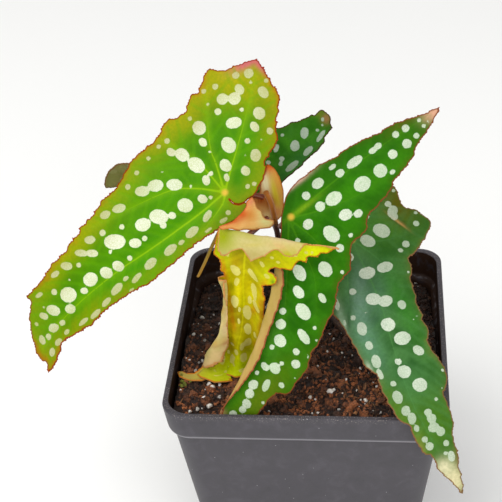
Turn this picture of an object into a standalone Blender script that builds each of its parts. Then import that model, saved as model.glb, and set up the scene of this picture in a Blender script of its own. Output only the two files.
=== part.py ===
"""Potted cane begonia: a square nursery pot, its soil, one cane and five spotted angel-wing leaves.

The part stands on the flat base of the pot. The origin is the centre of that base, X runs to the right,
-Y to the front and +Z up. Sizes in this file are in millimetres and become metres when a mesh is made.
"""

from collections import namedtuple
from math import cos, pi, radians, sin

import bmesh
import bpy
import numpy as np
from mathutils import Vector, noise
from mathutils.geometry import delaunay_2d_cdt

MM = 0.001
FIT_GAP = 0.3

# Pot
RIM_SIDE = 100.0
POT_HEIGHT = 90.0
BASE_SIDE = 75.0
BAND_HEIGHT = 12.0
BAND_STEP = 1.7
RIM_WIDTH = 2.0
EDGE_ROUNDING = 0.4
FOOT_ROUNDING = 0.8
WALL = 1.0
FLOOR_THICKNESS = 2.2
CORNER_RADIUS = 8.5
CORNER_TAPER = 0.1
BODY_TOP_SIDE = 94.3
DRAIN_DIAMETER = 9.0
DRAIN_OFFSET = 24.0

# Soil
SOIL_FRONT_LEVEL = 85.0
SOIL_BACK_DROP = 9.0
SOIL_SLOPE_START = -8.0
SOIL_SLOPE_LENGTH = 50.0
SOIL_ROUGHNESS = 0.7
SOIL_LUMP = 7.0
SOIL_CRUMB = 3.0
SOIL_CORNER_RADIUS = 7.8
SOIL_CORNER_STEPS = 17
SOIL_RINGS = 12

# Cane and petioles
CANE_DIAMETER = 4.2
CANE_BASE = (-7.5, 2.0, 62.0)
CANE_ROUTE = (CANE_BASE, (-7.8, 2.0, 80), (-8.4, 1.4, 96), (-8.8, 1.2, 110), (-9.8, 0.6, 124),
              (-10.8, -0.4, 136), (-12.0, -1.6, 146), (-13.4, -3.4, 152))
CANE_NODES = (97, 111, 124, 137, 146)
NODE_SWELLING = 0.22
NODE_LENGTH = 2.2
PETIOLE_DIAMETER = 2.2
PETIOLE_END_RUN = 3.0
STEM_STEP = 3.0

# Blades
BLADE_THICKNESS = 0.7
BLADE_SPACING = 5.0
YOUNG_SPACING = 4.0
STIPULE_SPACING = 3.0
VEIN_SPACING = 4.0
CREASE_SPACING = 3.2
VEIN_CLEARANCE = 1.5
CREASE_CLEARANCE = 0.9
STATION_STEP = 0.5
TOOTH_PITCH = 4.6
TOOTH_DEPTH = 0.5

Blade = namedtuple(
    "Blade",
    "name colour place turn outline petiole bend twist halves creases veins relief spacing tooth",
    defaults=((), ((0, 0), (1, 0)), ((0, 0), (1, 0)), ((0, 0), (0, 0)), (), (), None,
              BLADE_SPACING, TOOTH_DEPTH),
)
Crease = namedtuple("Crease", "centre radius roll turn")

# A blade is drawn flat, in millimetres: (right of the midrib, along the midrib from the petiole).
# place is where the petiole joins it, turn its heading, rise and roll in degrees, and bend and twist say
# how many degrees it has drooped and twisted at a distance along the midrib. halves gives each side of
# the midrib the angle it leaves at and its curl in degrees over 100 mm. petiole is the route from the
# cane to just behind the blade.


def young_leaf_pleats(across, along):
    """Folds that run down the young leaf, deeper away from its upper edge, and a lobe that lies forward."""
    depth = np.clip((across - 3) / 18, 0, 1)
    folds = depth * (1.3 * np.cos(2 * pi * (along + 3) / 8.5 + across / 30) - 1.0)
    lobe = np.clip((along - 4) / 5, 0, 1) * np.clip((across - 8) / 5, 0, 1)
    return folds * (1 - lobe) + 0.8 * lobe


LEAVES = (
    Blade(
        name="leaf_upper_left", colour=(0.13, 0.33, 0.01),
        place=(-27, -8, 155), turn=(-157, -27, 39),
        petiole=((-14.6, -1.2, 148.6), (-19, -2, 150.2), (-24, -4.2, 151.8)),
        bend=((0, 0), (60, 14), (100, 34)), halves=((4, 20), (4, 25)),
        outline=((-3, 0), (-5.5, -1.5), (-7, -8), (-4.5, -12), (-1.5, -15.5), (2.5, -21.5), (4.5, -25),
                 (8.5, -27), (12, -30), (17, -34), (24, -34.5), (30.5, -35), (33, -34), (35.5, -26),
                 (36, -23), (40, -19), (37.5, -15), (35, -12), (35.5, -8.5), (32, -5), (31.5, -2),
                 (33, 3.5), (31, 6.5), (29.5, 10.5), (29, 20.5), (25.5, 28), (24, 38.5), (21, 42),
                 (21, 48), (17, 62), (16, 70), (14, 81.5), (8.5, 85), (4, 88), (-0.5, 91), (-4.5, 92),
                 (-9.5, 90), (-12.5, 92), (-12, 87.5), (-9.5, 82), (-7.5, 79), (-8.5, 73), (-9.5, 65),
                 (-8.5, 57), (-9.5, 44), (-10.5, 39), (-10, 29), (-9, 17), (-9.5, 8.5), (-10, 0.5),
                 (-8.5, -3), (-6.2, -0.2)),
        veins=(((0, 0), (0, 25), (1, 50), (0, 72), (-4, 88)), ((0, 0), (11, 14), (17, 32), (20, 45)),
               ((0, 0), (15, 2), (28, 8)), ((0, 0), (14, -6), (34, -14)), ((0, 0), (10, -10), (28, -29)),
               ((0, 0), (-4, 6), (-7, 14))),
    ),
    Blade(
        name="leaf_centre", colour=(0.035, 0.20, 0.01),
        place=(-4.6, -10, 146.4), turn=(18, 33, -50),
        petiole=((-9.0, -3.0, 137.5), (-7.4, -4.8, 140.5)),
        bend=((0, 0), (65, 8)), halves=((3, 20), (3, 12)),
        creases=(Crease((-69, -97), 115.5, 0.8, 160),),
        outline=((0, 62.5), (-1.5, 56), (-3, 52), (-5, 45.5), (-5, 41.5), (-6.5, 35.5), (-7.5, 28),
                 (-7.3, 24.5), (-8.5, 18.5), (-8.5, 9), (-7.8, 5.5), (-6.5, 2.5), (-2, -2.8), (1.8, -5.7),
                 (5, -9), (10.2, -19.2), (14, -23.4), (22, -31.8), (26.8, -39.5), (33.2, -48.6),
                 (40.5, -60.5), (44, -58), (48, -50.5), (46, -43.5), (46, -40.5), (48.5, -36.5),
                 (47, -33), (45.5, -27), (41.5, -21.5), (40.5, -18), (36.5, -11.5), (34.5, -7), (28, 0),
                 (26.5, 6), (20, 11), (19, 18), (15.3, 21.5), (14.8, 25), (13, 32.5), (11, 35.5),
                 (10, 40), (8.5, 45), (6, 48.5), (4, 54.5), (2, 59)),
        veins=(((0, 0), (-1, 20), (-1, 40), (0, 58)), ((0, 0), (14, -12), (29, -25), (42, -40)),
               ((0, 0), (11, 2), (26, 3)), ((0, 0), (9, -3), (22, -6), (36, -16))),
    ),
    Blade(
        name="leaf_right", colour=(0.035, 0.13, 0.035),
        place=(15.7, 6, 125.4), turn=(-66, -29, -5),
        petiole=((-6.2, 2.8, 111.0), (2, 4.8, 114.0), (10, 6.6, 118.2)),
        bend=((0, 0), (38, -3), (60, -3), (85, 34), (110, 46)), halves=((6, 25), (0, 20)),
        outline=((0, -3), (-6, -9), (-14, -14), (-22, -15.5), (-22, -8), (-23, -5.5), (-26, -4),
                 (-28.5, 0), (-29.5, 2.5), (-27.5, 5.5), (-20.5, 11.5), (-16.5, 13.5), (-16.5, 17.5),
                 (-14.5, 21.5), (-13.5, 31), (-12.5, 41), (-12.3, 46), (-14, 57), (-12.5, 61.5),
                 (-9.8, 63.5), (-10.4, 69.5), (-10, 74.5), (-8, 78), (-8.5, 85), (-7.5, 89), (-8, 93),
                 (-7, 99), (-4.5, 96), (-0.7, 86), (3.6, 78.5), (5.3, 71), (8, 67), (9.7, 62), (9.8, 52),
                 (12.4, 46.5), (14.8, 30), (16.5, 24), (17, 12), (14, 1), (8, -5), (3, -5)),
        veins=(((0, 0), (-1, 25), (-1, 45), (-2, 65), (-4, 85)), ((0, 0), (-11, 4), (-25, 4)),
               ((0, 0), (-7, 12), (-13, 27)), ((0, 0), (6, 12), (11, 28)), ((0, 0), (-8, -6), (-19, -11))),
    ),
    Blade(
        name="leaf_young", colour=(0.55, 0.50, 0.01),
        place=(-18.7, -22.5, 145.6), turn=(-8, 0, -88),
        petiole=((-13.4, -4.6, 142.0), (-15.5, -10, 142.8), (-17.6, -15.5, 144.0)),
        creases=(Crease((-301.8, 39), 302.2, 0.9, 160), Crease((25.3, -60.6), 51.1, 0.8, 150),
                 Crease((154.5, -10), 100, 4, 80)),
        outline=((-1.8, 31.5), (-0.8, 24.5), (-0.6, 21), (-3.6, 19.4), (-6.9, 17), (-7.2, 13.7), (-6, 12),
                 (-6, 10.7), (-9.6, 7.4), (-11.9, 4.4), (-10.2, 2), (-9.1, 0.3), (-10.5, -2.1),
                 (-12.9, -4), (-12.5, -6.9), (-6, -8.8), (-2.6, -10), (3.8, -11.5), (7.1, -11.8),
                 (9.2, -10), (13.5, -10), (16.5, -9.3), (17.2, -13), (18.5, -17), (23, -16.7),
                 (26, -13.7), (29.6, -13), (33, -14), (37.4, -16.2), (43.7, -18.9), (49.5, -23),
                 (52.3, -23), (54, -16), (57.5, -19.8), (60, -23.5), (61, -26.3), (62.6, -24),
                 (63.3, -20.4), (62.3, -14.7), (63.4, -11), (59.6, -6.6), (57.9, -3.7), (54, -1.9),
                 (48.3, 1.1), (41.4, 3.6), (37.1, 4.7), (30.3, 4.7), (23.9, 5.3), (18.3, 4.8),
                 (17.9, 6.9), (16.7, 9.2), (15, 9.9), (12.5, 9), (12, 6.8), (10.4, 9.2), (10.2, 15.2),
                 (6.8, 17.1), (7.1, 20), (4.5, 20.7), (4.1, 24), (2.7, 25.1), (2.1, 27.8), (-0.4, 30.5)),
        veins=(((0, 0), (1, 12), (0, 24)), ((0, 0), (12, -2), (32, -3), (54, -8))),
        relief=young_leaf_pleats, spacing=YOUNG_SPACING,
    ),
    Blade(
        name="leaf_back", colour=(0.03, 0.13, 0.035),
        place=(-17, 20, 138.4), turn=(180, 14, 0),
        petiole=((-9.8, 4.0, 124.2), (-11.5, 9, 127.5), (-15.2, 16.5, 132.4)),
        bend=((0, 0), (30, 4), (61, 50)), twist=((-30, 38), (8, 38), (50, -66)), halves=((0, 10), (0, 10)),
        outline=((-2, -0.5), (-2, -5), (4, -7), (12, -13), (20, -19), (25, -21), (28, -23), (30, -21.5),
                 (32, -20.5), (33.5, -18), (33, -16), (31.5, -15), (29, -11), (25.5, -5), (24, -2.5),
                 (25, 8), (22, 20), (17, 33), (11, 43), (5, 52), (0, 60), (-7, 54), (-12, 44), (-12, 32),
                 (-10, 20), (-8, 12), (-5, 4), (-4.5, 0.5)),
        veins=(((0, 0), (1, 20), (1, 40), (0, 55)), ((0, 0), (12, 6), (20, 18)),
               ((0, 0), (14, -5), (28, -17))),
    ),
)

STIPULES = (
    Blade(
        name="stipule_upper", colour=(0.65, 0.45, 0.16),
        place=(-9.3, 3.1, 137.9), turn=(112, 70, 0),
        bend=((0, 0), (22, 6)), halves=((6, -40), (6, -40)),
        outline=((0.6, 0.1), (-1.6, 0), (-3.4, 1.2), (-6.5, 3), (-8.6, 5.4), (-9.4, 9), (-7.6, 9.6),
                 (-6.3, 10.3), (-5.9, 12.2), (-4.7, 14.7), (-3, 16.8), (-1.8, 19.2), (0.7, 16.8),
                 (1.9, 13.2), (2.4, 8.9), (1.8, 4.5), (1.3, 0.9)),
        spacing=STIPULE_SPACING, tooth=0,
    ),
    Blade(
        name="stipule_lower", colour=(0.62, 0.25, 0.08),
        place=(-11.3, -10.7, 148.1), turn=(-137, 15, 62),
        bend=((0, 0), (24, 8)), halves=((0, -120), (0, -60)),
        outline=((-2.2, -0.4), (-3.4, -0.3), (-4.6, 1.6), (-4.2, 6.3), (-4.2, 8.6), (-3.5, 11.7),
                 (-3.3, 14.9), (-2.1, 17.7), (-2, 20.9), (-0.6, 21.8), (0, 16.8), (1.5, 13.7),
                 (2.9, 11.4), (4.2, 10.1), (5.8, 9.6), (6.9, 7.2), (5.4, 6.3), (2.9, 5.6), (1.7, 4.1),
                 (-0.1, 3.7), (-1.3, 2.7)),
        spacing=STIPULE_SPACING, tooth=0,
    ),
    Blade(
        name="stipule_dry", colour=(0.50, 0.32, 0.08),
        place=(-30.4, -14, 140.5), turn=(190, -65, 0),
        bend=((-20, -60), (0, 0), (24, -14)),
        outline=((0, -16), (-1, -12), (-1.5, 0), (-1.8, 5), (-3.2, 10), (-4.4, 14.6), (-3, 15.6),
                 (-0.8, 10), (0.9, 5), (1.2, 0), (0.9, -12)),
        spacing=STIPULE_SPACING, tooth=0,
    ),
)


def clear_scene():
    for item in list(bpy.data.objects):
        bpy.data.objects.remove(item, do_unlink=True)


def new_collection(name):
    collection = bpy.data.collections.new(name)
    bpy.context.scene.collection.children.link(collection)
    return collection


def make_material(name, colour, roughness):
    material = bpy.data.materials.new(name)
    material.use_nodes = True
    shader = material.node_tree.nodes["Principled BSDF"]
    shader.inputs["Base Color"].default_value = (*colour, 1)
    shader.inputs["Roughness"].default_value = roughness
    material.diffuse_color = (*colour, 1)
    return material


def make_object(name, points, faces, collection, material, smooth=True):
    """Mesh object from points in millimetres."""
    mesh = bpy.data.meshes.new(name)
    mesh.from_pydata([Vector(point) * MM for point in points], [], faces)
    mesh.update()
    if smooth:
        mesh.shade_smooth()
        mesh.set_sharp_from_angle(angle=radians(35))
    item = bpy.data.objects.new(name, mesh)
    item.data.materials.append(material)
    collection.objects.link(item)
    return item


# Pot and soil


def rounded_square(side, radius, height, per_corner=6):
    """One level ring of points, anticlockwise seen from above."""
    points = []
    for corner in range(4):
        start = corner * pi / 2
        centre = (side / 2 - radius) * np.array([cos(start) - sin(start), sin(start) + cos(start)])
        for step in range(per_corner + 1):
            angle = start + step * pi / 2 / per_corner
            points.append((centre[0] + radius * cos(angle), centre[1] + radius * sin(angle), height))
    return points


def loft_rings(rings):
    """Closed solid from rings of equal count, first ring to last, with both ends capped."""
    count = len(rings[0])
    points = [point for ring in rings for point in ring]
    faces = []
    for level in range(len(rings) - 1):
        for step in range(count):
            following = (step + 1) % count
            low, high = level * count, (level + 1) * count
            faces.append((low + step, low + following, high + following, high + step))
    faces.append(tuple(reversed(range(count))))
    faces.append(tuple(range((len(rings) - 1) * count, len(rings) * count)))
    return points, faces


def cut_round_hole(item, name, centre, diameter, depth, cutters):
    """Cut an upright round hole of this depth from the foot of its axis, at centre."""
    mesh = bpy.data.meshes.new(f"{name}_cutter")
    shape = bmesh.new()
    bmesh.ops.create_cone(shape, cap_ends=True, segments=20, radius1=diameter / 2 * MM,
                          radius2=diameter / 2 * MM, depth=depth * MM)
    shape.to_mesh(mesh)
    shape.free()
    cutter = bpy.data.objects.new(mesh.name, mesh)
    cutter.location = (centre[0] * MM, centre[1] * MM, (centre[2] + depth / 2) * MM)
    cutter.hide_render = True
    cutter.display_type = "WIRE"
    cutters.objects.link(cutter)
    cut = item.modifiers.new(name, "BOOLEAN")
    cut.operation = "DIFFERENCE"
    cut.object = cutter


def inner_side(height):
    """Side of the pot's inner wall at this height, below its rim band."""
    taper = (BODY_TOP_SIDE - BASE_SIDE) / (POT_HEIGHT - BAND_HEIGHT)
    return BASE_SIDE + taper * height - 2 * WALL


def make_pot(collection, cutters):
    """Tapered square pot: outer wall up, over the rim, and down inside to the floor."""
    band_foot = POT_HEIGHT - BAND_HEIGHT
    band_side = BODY_TOP_SIDE + 2 * BAND_STEP
    mouth_side = RIM_SIDE - 2 * RIM_WIDTH
    edge = 1.5 * EDGE_ROUNDING
    profile = (
        (BASE_SIDE - 2 * FOOT_ROUNDING, 0), (BASE_SIDE, 1.5 * FOOT_ROUNDING),
        (BODY_TOP_SIDE, band_foot), (band_side, band_foot + edge),
        (RIM_SIDE - EDGE_ROUNDING, POT_HEIGHT - 3 * edge), (RIM_SIDE, POT_HEIGHT - edge),
        (RIM_SIDE - 2 * EDGE_ROUNDING, POT_HEIGHT), (mouth_side + edge, POT_HEIGHT),
        (mouth_side, POT_HEIGHT - edge), (band_side - 2 * WALL, band_foot + edge + WALL),
        (inner_side(band_foot), band_foot - edge), (inner_side(FLOOR_THICKNESS), FLOOR_THICKNESS),
    )
    rings = []
    for side, height in profile:
        radius = CORNER_RADIUS - (RIM_SIDE - side) * CORNER_TAPER
        rings.append(rounded_square(side, radius, height))
    plastic = make_material("pot_plastic", (0.09, 0.09, 0.105), 0.5)
    pot = make_object("pot", *loft_rings(rings), collection, plastic)
    for number, (right, back) in enumerate(((1, 1), (-1, 1), (-1, -1), (1, -1))):
        foot = (right * DRAIN_OFFSET, back * DRAIN_OFFSET, -FLOOR_THICKNESS)
        cut_round_hole(pot, f"drain_{number}", foot, DRAIN_DIAMETER, 3 * FLOOR_THICKNESS, cutters)


def soil_height(right, back):
    """Rough top of the soil: level at the front and lower towards the back wall."""
    slope = min(max((back - SOIL_SLOPE_START) / SOIL_SLOPE_LENGTH, 0), 1)
    slope = slope * slope * (3 - 2 * slope)
    lumps = noise.noise(Vector((right / SOIL_LUMP, back / SOIL_LUMP, 3.1)))
    crumbs = noise.noise(Vector((right / SOIL_CRUMB, back / SOIL_CRUMB, 8.4)))
    return SOIL_FRONT_LEVEL - SOIL_BACK_DROP * slope + SOIL_ROUGHNESS * (lumps + 0.8 * crumbs)


def make_soil(collection, cutters):
    """Soil block: a ring on the pot's floor, then rings over the rough top from its edge to the middle."""
    foot = FLOOR_THICKNESS + FIT_GAP
    rings = [rounded_square(inner_side(foot) - 2 * FIT_GAP, SOIL_CORNER_RADIUS, foot, SOIL_CORNER_STEPS)]
    top_side = inner_side(SOIL_FRONT_LEVEL) - 2 * FIT_GAP
    for ring in range(SOIL_RINGS, 0, -1):
        share = ring / SOIL_RINGS
        points = []
        for x, y, _ in rounded_square(top_side * share, SOIL_CORNER_RADIUS * share, 0, SOIL_CORNER_STEPS):
            level = soil_height(x, y)
            narrower = (inner_side(level) - 2 * FIT_GAP) / top_side
            points.append((x * narrower, y * narrower, level))
        rings.append(points)
    peat = make_material("potting_soil", (0.05, 0.025, 0.012), 0.95)
    soil = make_object("soil", *loft_rings(rings), collection, peat)
    foot = (CANE_BASE[0], CANE_BASE[1], CANE_BASE[2] - FIT_GAP)
    cut_round_hole(soil, "cane_hole", foot, CANE_DIAMETER + 4 * FIT_GAP, POT_HEIGHT - CANE_BASE[2], cutters)


# Stems


def smooth_route(points, step):
    """Catmull-Rom curve through a few points, read about every step millimetres."""
    route = [np.array(point, float) for point in points]
    route = [2 * route[0] - route[1]] + route + [2 * route[-1] - route[-2]]
    out = []
    for a, b, c, d in zip(route, route[1:], route[2:], route[3:]):
        count = max(1, round(np.linalg.norm(c - b) / step))
        for k in range(count):
            t = k / count
            out.append(0.5 * (2 * b + (c - a) * t + (2 * a - 5 * b + 4 * c - d) * t * t
                              + (3 * b - a - 3 * c + d) * t ** 3))
    out.append(route[-2])
    return out


def make_stem(name, route, radii, collection, material):
    """Round stem along a route, as a bevelled curve with filled ends and a radius at each point."""
    curve = bpy.data.curves.new(name, "CURVE")
    curve.dimensions = "3D"
    curve.bevel_depth = MM
    curve.bevel_resolution = 2
    curve.use_fill_caps = True
    spline = curve.splines.new("POLY")
    spline.points.add(len(route) - 1)
    for place, radius, point in zip(route, radii, spline.points):
        point.co = (*(place * MM), 1)
        point.radius = radius
    spline.use_smooth = True
    curve.materials.append(material)
    collection.objects.link(bpy.data.objects.new(name, curve))


def make_cane(collection):
    """Cane that swells at each node and tapers to its growing tip."""
    route = smooth_route(CANE_ROUTE, NODE_LENGTH)
    radii = []
    for place in route:
        swelling = sum(np.exp(-((place[2] - node) / NODE_LENGTH) ** 2) for node in CANE_NODES)
        tip = min(max((place[2] - CANE_NODES[-1] + 2) / 9, 0), 1)
        radii.append(CANE_DIAMETER / 2 * (1 + NODE_SWELLING * swelling) * (1 - 0.6 * tip))
    make_stem("cane", route, radii, collection, make_material("cane_skin", (0.16, 0.03, 0.015), 0.4))


def make_petiole(blade, collection, material):
    """Petiole from the cane to the blade: it meets the underside squarely, a fit gap away."""
    junction = np.zeros((1, 2))
    under = BLADE_THICKNESS / 2 + FIT_GAP
    ends = [blade_place(blade, junction, -under - run)[0] for run in (PETIOLE_END_RUN, 0)]
    route = smooth_route([*blade.petiole, *ends], STEM_STEP)
    radii = [PETIOLE_DIAMETER / 2] * len(route)
    make_stem(blade.name.replace("leaf", "petiole"), route, radii, collection, material)


# Blades


def direction_frame(heading, rise, roll):
    """Across, along and face directions of a blade that heads, rises and rolls by these degrees."""
    heading, rise, roll = radians(heading), radians(rise), radians(roll)
    along = np.array([cos(rise) * cos(heading), cos(rise) * sin(heading), sin(rise)])
    right = np.array([sin(heading), -cos(heading), 0])
    across = cos(roll) * right + sin(roll) * np.cross(right, along)
    return across, along, np.cross(across, along)


def roll_edges(blade, across, along, offset):
    """Roll what lies beyond each crease over the upper face. A crease is an arc whose inside is rolled."""
    lift = np.full_like(across, offset)
    for crease in blade.creases:
        away = np.stack([crease.centre[0] - across, crease.centre[1] - along])
        distance = np.hypot(*away)
        beyond = np.maximum(crease.radius - distance, 0)
        turn = radians(crease.turn)
        angle = np.minimum(beyond / crease.roll, turn)
        rest = beyond - angle * crease.roll
        reach = (crease.roll - offset) * np.sin(angle) + rest * cos(turn)
        shift = (reach - beyond) / distance
        across = across + shift * away[0]
        along = along + shift * away[1]
        lift = lift + (crease.roll - offset) * (1 - np.cos(angle)) + rest * sin(turn)
    return across, along, lift


def curl(width, angle, degrees_per_100):
    """Run and height of a line of this width that leaves at an angle and curls down."""
    rate = radians(degrees_per_100) / 100 + 1e-9
    end = angle - rate * width
    return (np.sin(angle) - np.sin(end)) / rate, (np.cos(end) - np.cos(angle)) / rate


def bent_place(blade, across, along):
    """Place of flat blade points after the droop, twist and curl of the blade."""
    right, forward, face = direction_frame(*blade.turn)
    stations = np.arange(-80, 130, STATION_STEP)
    droop = np.radians(np.interp(stations, *zip(*blade.bend)))
    middle = (droop[1:] + droop[:-1]) / 2
    run = np.concatenate([[0], np.cumsum(np.cos(middle)) * STATION_STEP])
    fall = np.concatenate([[0], np.cumsum(np.sin(middle)) * STATION_STEP])
    run = np.interp(along, stations, run) - np.interp(0, stations, run)
    fall = np.interp(along, stations, fall) - np.interp(0, stations, fall)
    droop = np.interp(along, stations, droop)[:, None]
    twist = np.radians(np.interp(along, *zip(*blade.twist)))[:, None]
    normal = np.cos(droop) * face + np.sin(droop) * forward
    side = np.cos(twist) * right + np.sin(twist) * normal
    normal = np.cos(twist) * normal - np.sin(twist) * right
    (left_angle, left_curl), (right_angle, right_curl) = blade.halves
    left_run, left_rise = curl(np.maximum(-across, 0), radians(left_angle), left_curl)
    right_run, right_rise = curl(np.maximum(across, 0), radians(right_angle), right_curl)
    height = left_rise + right_rise
    if blade.relief:
        height = height + blade.relief(across, along)
    place = np.array(blade.place) + run[:, None] * forward - fall[:, None] * face
    return place + (right_run - left_run)[:, None] * side + height[:, None] * normal


def blade_place(blade, flat, offset):
    """Place of flat points on the finished blade, offset to one face of its thickness."""
    across, along, lift = roll_edges(blade, flat[:, 0], flat[:, 1], offset)
    small = 0.05
    place = bent_place(blade, across, along)
    slope_right = bent_place(blade, across + small, along) - bent_place(blade, across - small, along)
    slope_along = bent_place(blade, across, along + small) - bent_place(blade, across, along - small)
    normal = np.cross(slope_right, slope_along)
    normal /= np.linalg.norm(normal, axis=1)[:, None]
    return place + lift[:, None] * normal


def toothed_margin(blade):
    """Margin of the flat blade: a smooth curve through the outline that small teeth cut into."""
    outline = [np.array(point, float) for point in blade.outline]
    count = len(outline)
    points = []
    for k in range(count):
        a, b, c, d = (outline[(k + j - 1) % count] for j in range(4))
        steps = max(1, round(np.linalg.norm(c - b) / (TOOTH_PITCH / 2)))
        for step in range(steps):
            t = step / steps
            pull = 0.25 * t * (1 - t)
            points.append(b + (c - b) * t + pull * ((c - a) * (1 - t) - (d - b) * t))
    points = np.array(points)
    ahead = np.roll(points, -1, axis=0) - np.roll(points, 1, axis=0)
    outward = np.stack([ahead[:, 1], -ahead[:, 0]], axis=1) / np.linalg.norm(ahead, axis=1)[:, None]
    area = np.sum(points[:, 0] * np.roll(points[:, 1], -1) - points[:, 1] * np.roll(points[:, 0], -1))
    number = np.arange(len(points))
    uneven = 0.75 + 0.25 * np.sin(2.4 * number)
    depth = blade.tooth * uneven * (number % 2 - 0.5) * np.sign(area)
    return points + outward * depth[:, None]


def inside(points, margin):
    """Which points lie inside the closed margin, by counting crossings."""
    following = np.roll(margin, -1, axis=0)
    result = np.zeros(len(points), bool)
    for (ax, ay), (bx, by) in zip(margin, following):
        if ay == by:
            continue
        crosses = (ay > points[:, 1]) != (by > points[:, 1])
        result ^= crosses & (points[:, 0] < (bx - ax) * (points[:, 1] - ay) / (by - ay) + ax)
    return result


def clear_of(points, others, distance):
    """Keep the points that lie at least this far from all the others."""
    gaps = np.linalg.norm(points.reshape(-1, 1, 2) - others, axis=2)
    return points[gaps.min(axis=1) > distance]


def blade_lines(blade, margin):
    """Lines that edges must follow inside the blade: its main veins and the turns of its creases."""
    lines = []
    for vein in blade.veins:
        line = np.array(smooth_route(vein, VEIN_SPACING))
        lines.append(clear_of(line[inside(line, margin)], margin, VEIN_CLEARANCE))
    for crease in blade.creases:
        for share in (0, 0.35, 0.7, 1.05):
            radius = crease.radius - share * crease.roll * radians(crease.turn)
            angle = np.arange(0, 2 * pi, CREASE_SPACING / radius)
            ring = np.array(crease.centre) + radius * np.stack([np.cos(angle), np.sin(angle)], axis=1)
            lines.append(clear_of(ring[inside(ring, margin)], margin, CREASE_CLEARANCE))
    return lines


def flat_triangles(blade):
    """Flat blade cut into triangles: margin, inner lines and a staggered grid between them."""
    margin = toothed_margin(blade)
    space = blade.spacing
    low, high = margin.min(axis=0), margin.max(axis=0)
    rows = np.arange(low[1], high[1], space * 0.87)
    columns = np.arange(low[0], high[0], space)
    grid = np.array([(x + space / 2 * (k % 2), y) for k, y in enumerate(rows) for x in columns])
    fixed = np.concatenate([margin, *blade_lines(blade, margin)])
    grid = clear_of(grid[inside(grid, margin)], fixed, space * 0.55)
    points = np.concatenate([fixed, grid])
    edges = [(k, (k + 1) % len(margin)) for k in range(len(margin))]
    flat, _, faces, *_ = delaunay_2d_cdt([Vector(point) for point in points], edges, [], 0, 1e-4)
    flat = np.array([tuple(point) for point in flat])
    faces = np.array([tuple(face) for face in faces])
    return flat, faces[inside(flat[faces].mean(axis=1), margin)]


def make_blade(blade, collection, roughness=0.45):
    """Thin closed solid: the same triangles on both faces, joined round the margin."""
    flat, faces = flat_triangles(blade)
    used = np.unique(faces)
    renumber = np.zeros(len(flat), int)
    renumber[used] = np.arange(len(used))
    flat, faces = flat[used], renumber[faces]
    corners = flat[faces]
    turned = np.cross(corners[:, 1] - corners[:, 0], corners[:, 2] - corners[:, 0]) < 0
    faces[turned] = faces[turned][:, ::-1]
    top = blade_place(blade, flat, BLADE_THICKNESS / 2)
    bottom = blade_place(blade, flat, -BLADE_THICKNESS / 2)
    count = len(flat)
    sides = {}
    for a, b, c in faces:
        for pair in ((a, b), (b, c), (c, a)):
            sides[pair] = True
    rim = [pair for pair in sides if pair[::-1] not in sides]
    solid = [tuple(face) for face in faces] + [tuple(face[::-1] + count) for face in faces]
    for a, b in rim:
        solid += [(b, a, a + count), (b, a + count, b + count)]
    material = make_material(blade.name, blade.colour, roughness)
    return make_object(blade.name, np.concatenate([top, bottom]), solid, collection, material)


def main():
    clear_scene()
    plant = new_collection("potted_cane_begonia")
    cutters = new_collection("cutters")
    make_pot(plant, cutters)
    make_soil(plant, cutters)
    make_cane(plant)
    petiole_skin = make_material("petiole_skin", (0.38, 0.12, 0.03), 0.4)
    for blade in LEAVES:
        make_petiole(blade, plant, petiole_skin)
    for blade in LEAVES + STIPULES:
        make_blade(blade, plant)


main()
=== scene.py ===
# %% [markdown]
# # A potted cane begonia, leaf by leaf
#
# The plant stands in a square nursery pot. One cane rises from the soil and carries five spotted leaves,
# each on a short stalk, with papery sheaths where the youngest leaf came out.
#
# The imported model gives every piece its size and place. This script makes the looks around it: finer
# blades with teeth, veins and silver spots, the stems, the moulded pot and the crumbly soil.

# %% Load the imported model
from collections import namedtuple
from math import cos, pi, radians, sin

import bmesh
import bpy
import numpy as np
from mathutils import Matrix, Vector, noise
from mathutils.geometry import delaunay_2d_cdt


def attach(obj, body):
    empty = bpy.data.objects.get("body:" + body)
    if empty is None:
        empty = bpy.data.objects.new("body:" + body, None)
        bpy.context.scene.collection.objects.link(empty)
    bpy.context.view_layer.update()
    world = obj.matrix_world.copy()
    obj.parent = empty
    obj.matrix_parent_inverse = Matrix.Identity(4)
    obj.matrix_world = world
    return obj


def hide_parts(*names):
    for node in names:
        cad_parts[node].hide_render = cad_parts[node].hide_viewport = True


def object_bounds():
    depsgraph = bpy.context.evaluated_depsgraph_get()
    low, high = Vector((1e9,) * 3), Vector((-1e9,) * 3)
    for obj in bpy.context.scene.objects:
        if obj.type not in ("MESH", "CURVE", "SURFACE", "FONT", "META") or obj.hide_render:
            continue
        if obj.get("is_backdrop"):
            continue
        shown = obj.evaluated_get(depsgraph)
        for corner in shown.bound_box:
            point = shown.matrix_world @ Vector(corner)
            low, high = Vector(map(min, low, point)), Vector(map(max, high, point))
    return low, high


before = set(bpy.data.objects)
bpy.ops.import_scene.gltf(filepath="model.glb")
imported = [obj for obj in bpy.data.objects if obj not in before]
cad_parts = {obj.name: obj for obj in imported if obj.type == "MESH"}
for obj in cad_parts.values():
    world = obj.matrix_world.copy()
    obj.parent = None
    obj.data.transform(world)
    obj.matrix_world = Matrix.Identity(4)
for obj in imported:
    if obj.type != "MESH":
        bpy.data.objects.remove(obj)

CAD_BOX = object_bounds()
MM = 0.001
print("nodes:", ", ".join(sorted(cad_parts)))

# %% [markdown]
# ## Small helpers
#
# Colours are written as the hex codes that a colour picker shows. Blender works in linear light, so one
# function turns them. A second adds a node with its settings and links, which keeps every material short
# enough to read. A few more name what the materials share: a stored value, a noise, cells, a ramp, and
# colours laid over each other, as a painter glazes from the broadest patch to the finest line.

# %% Helpers


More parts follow.
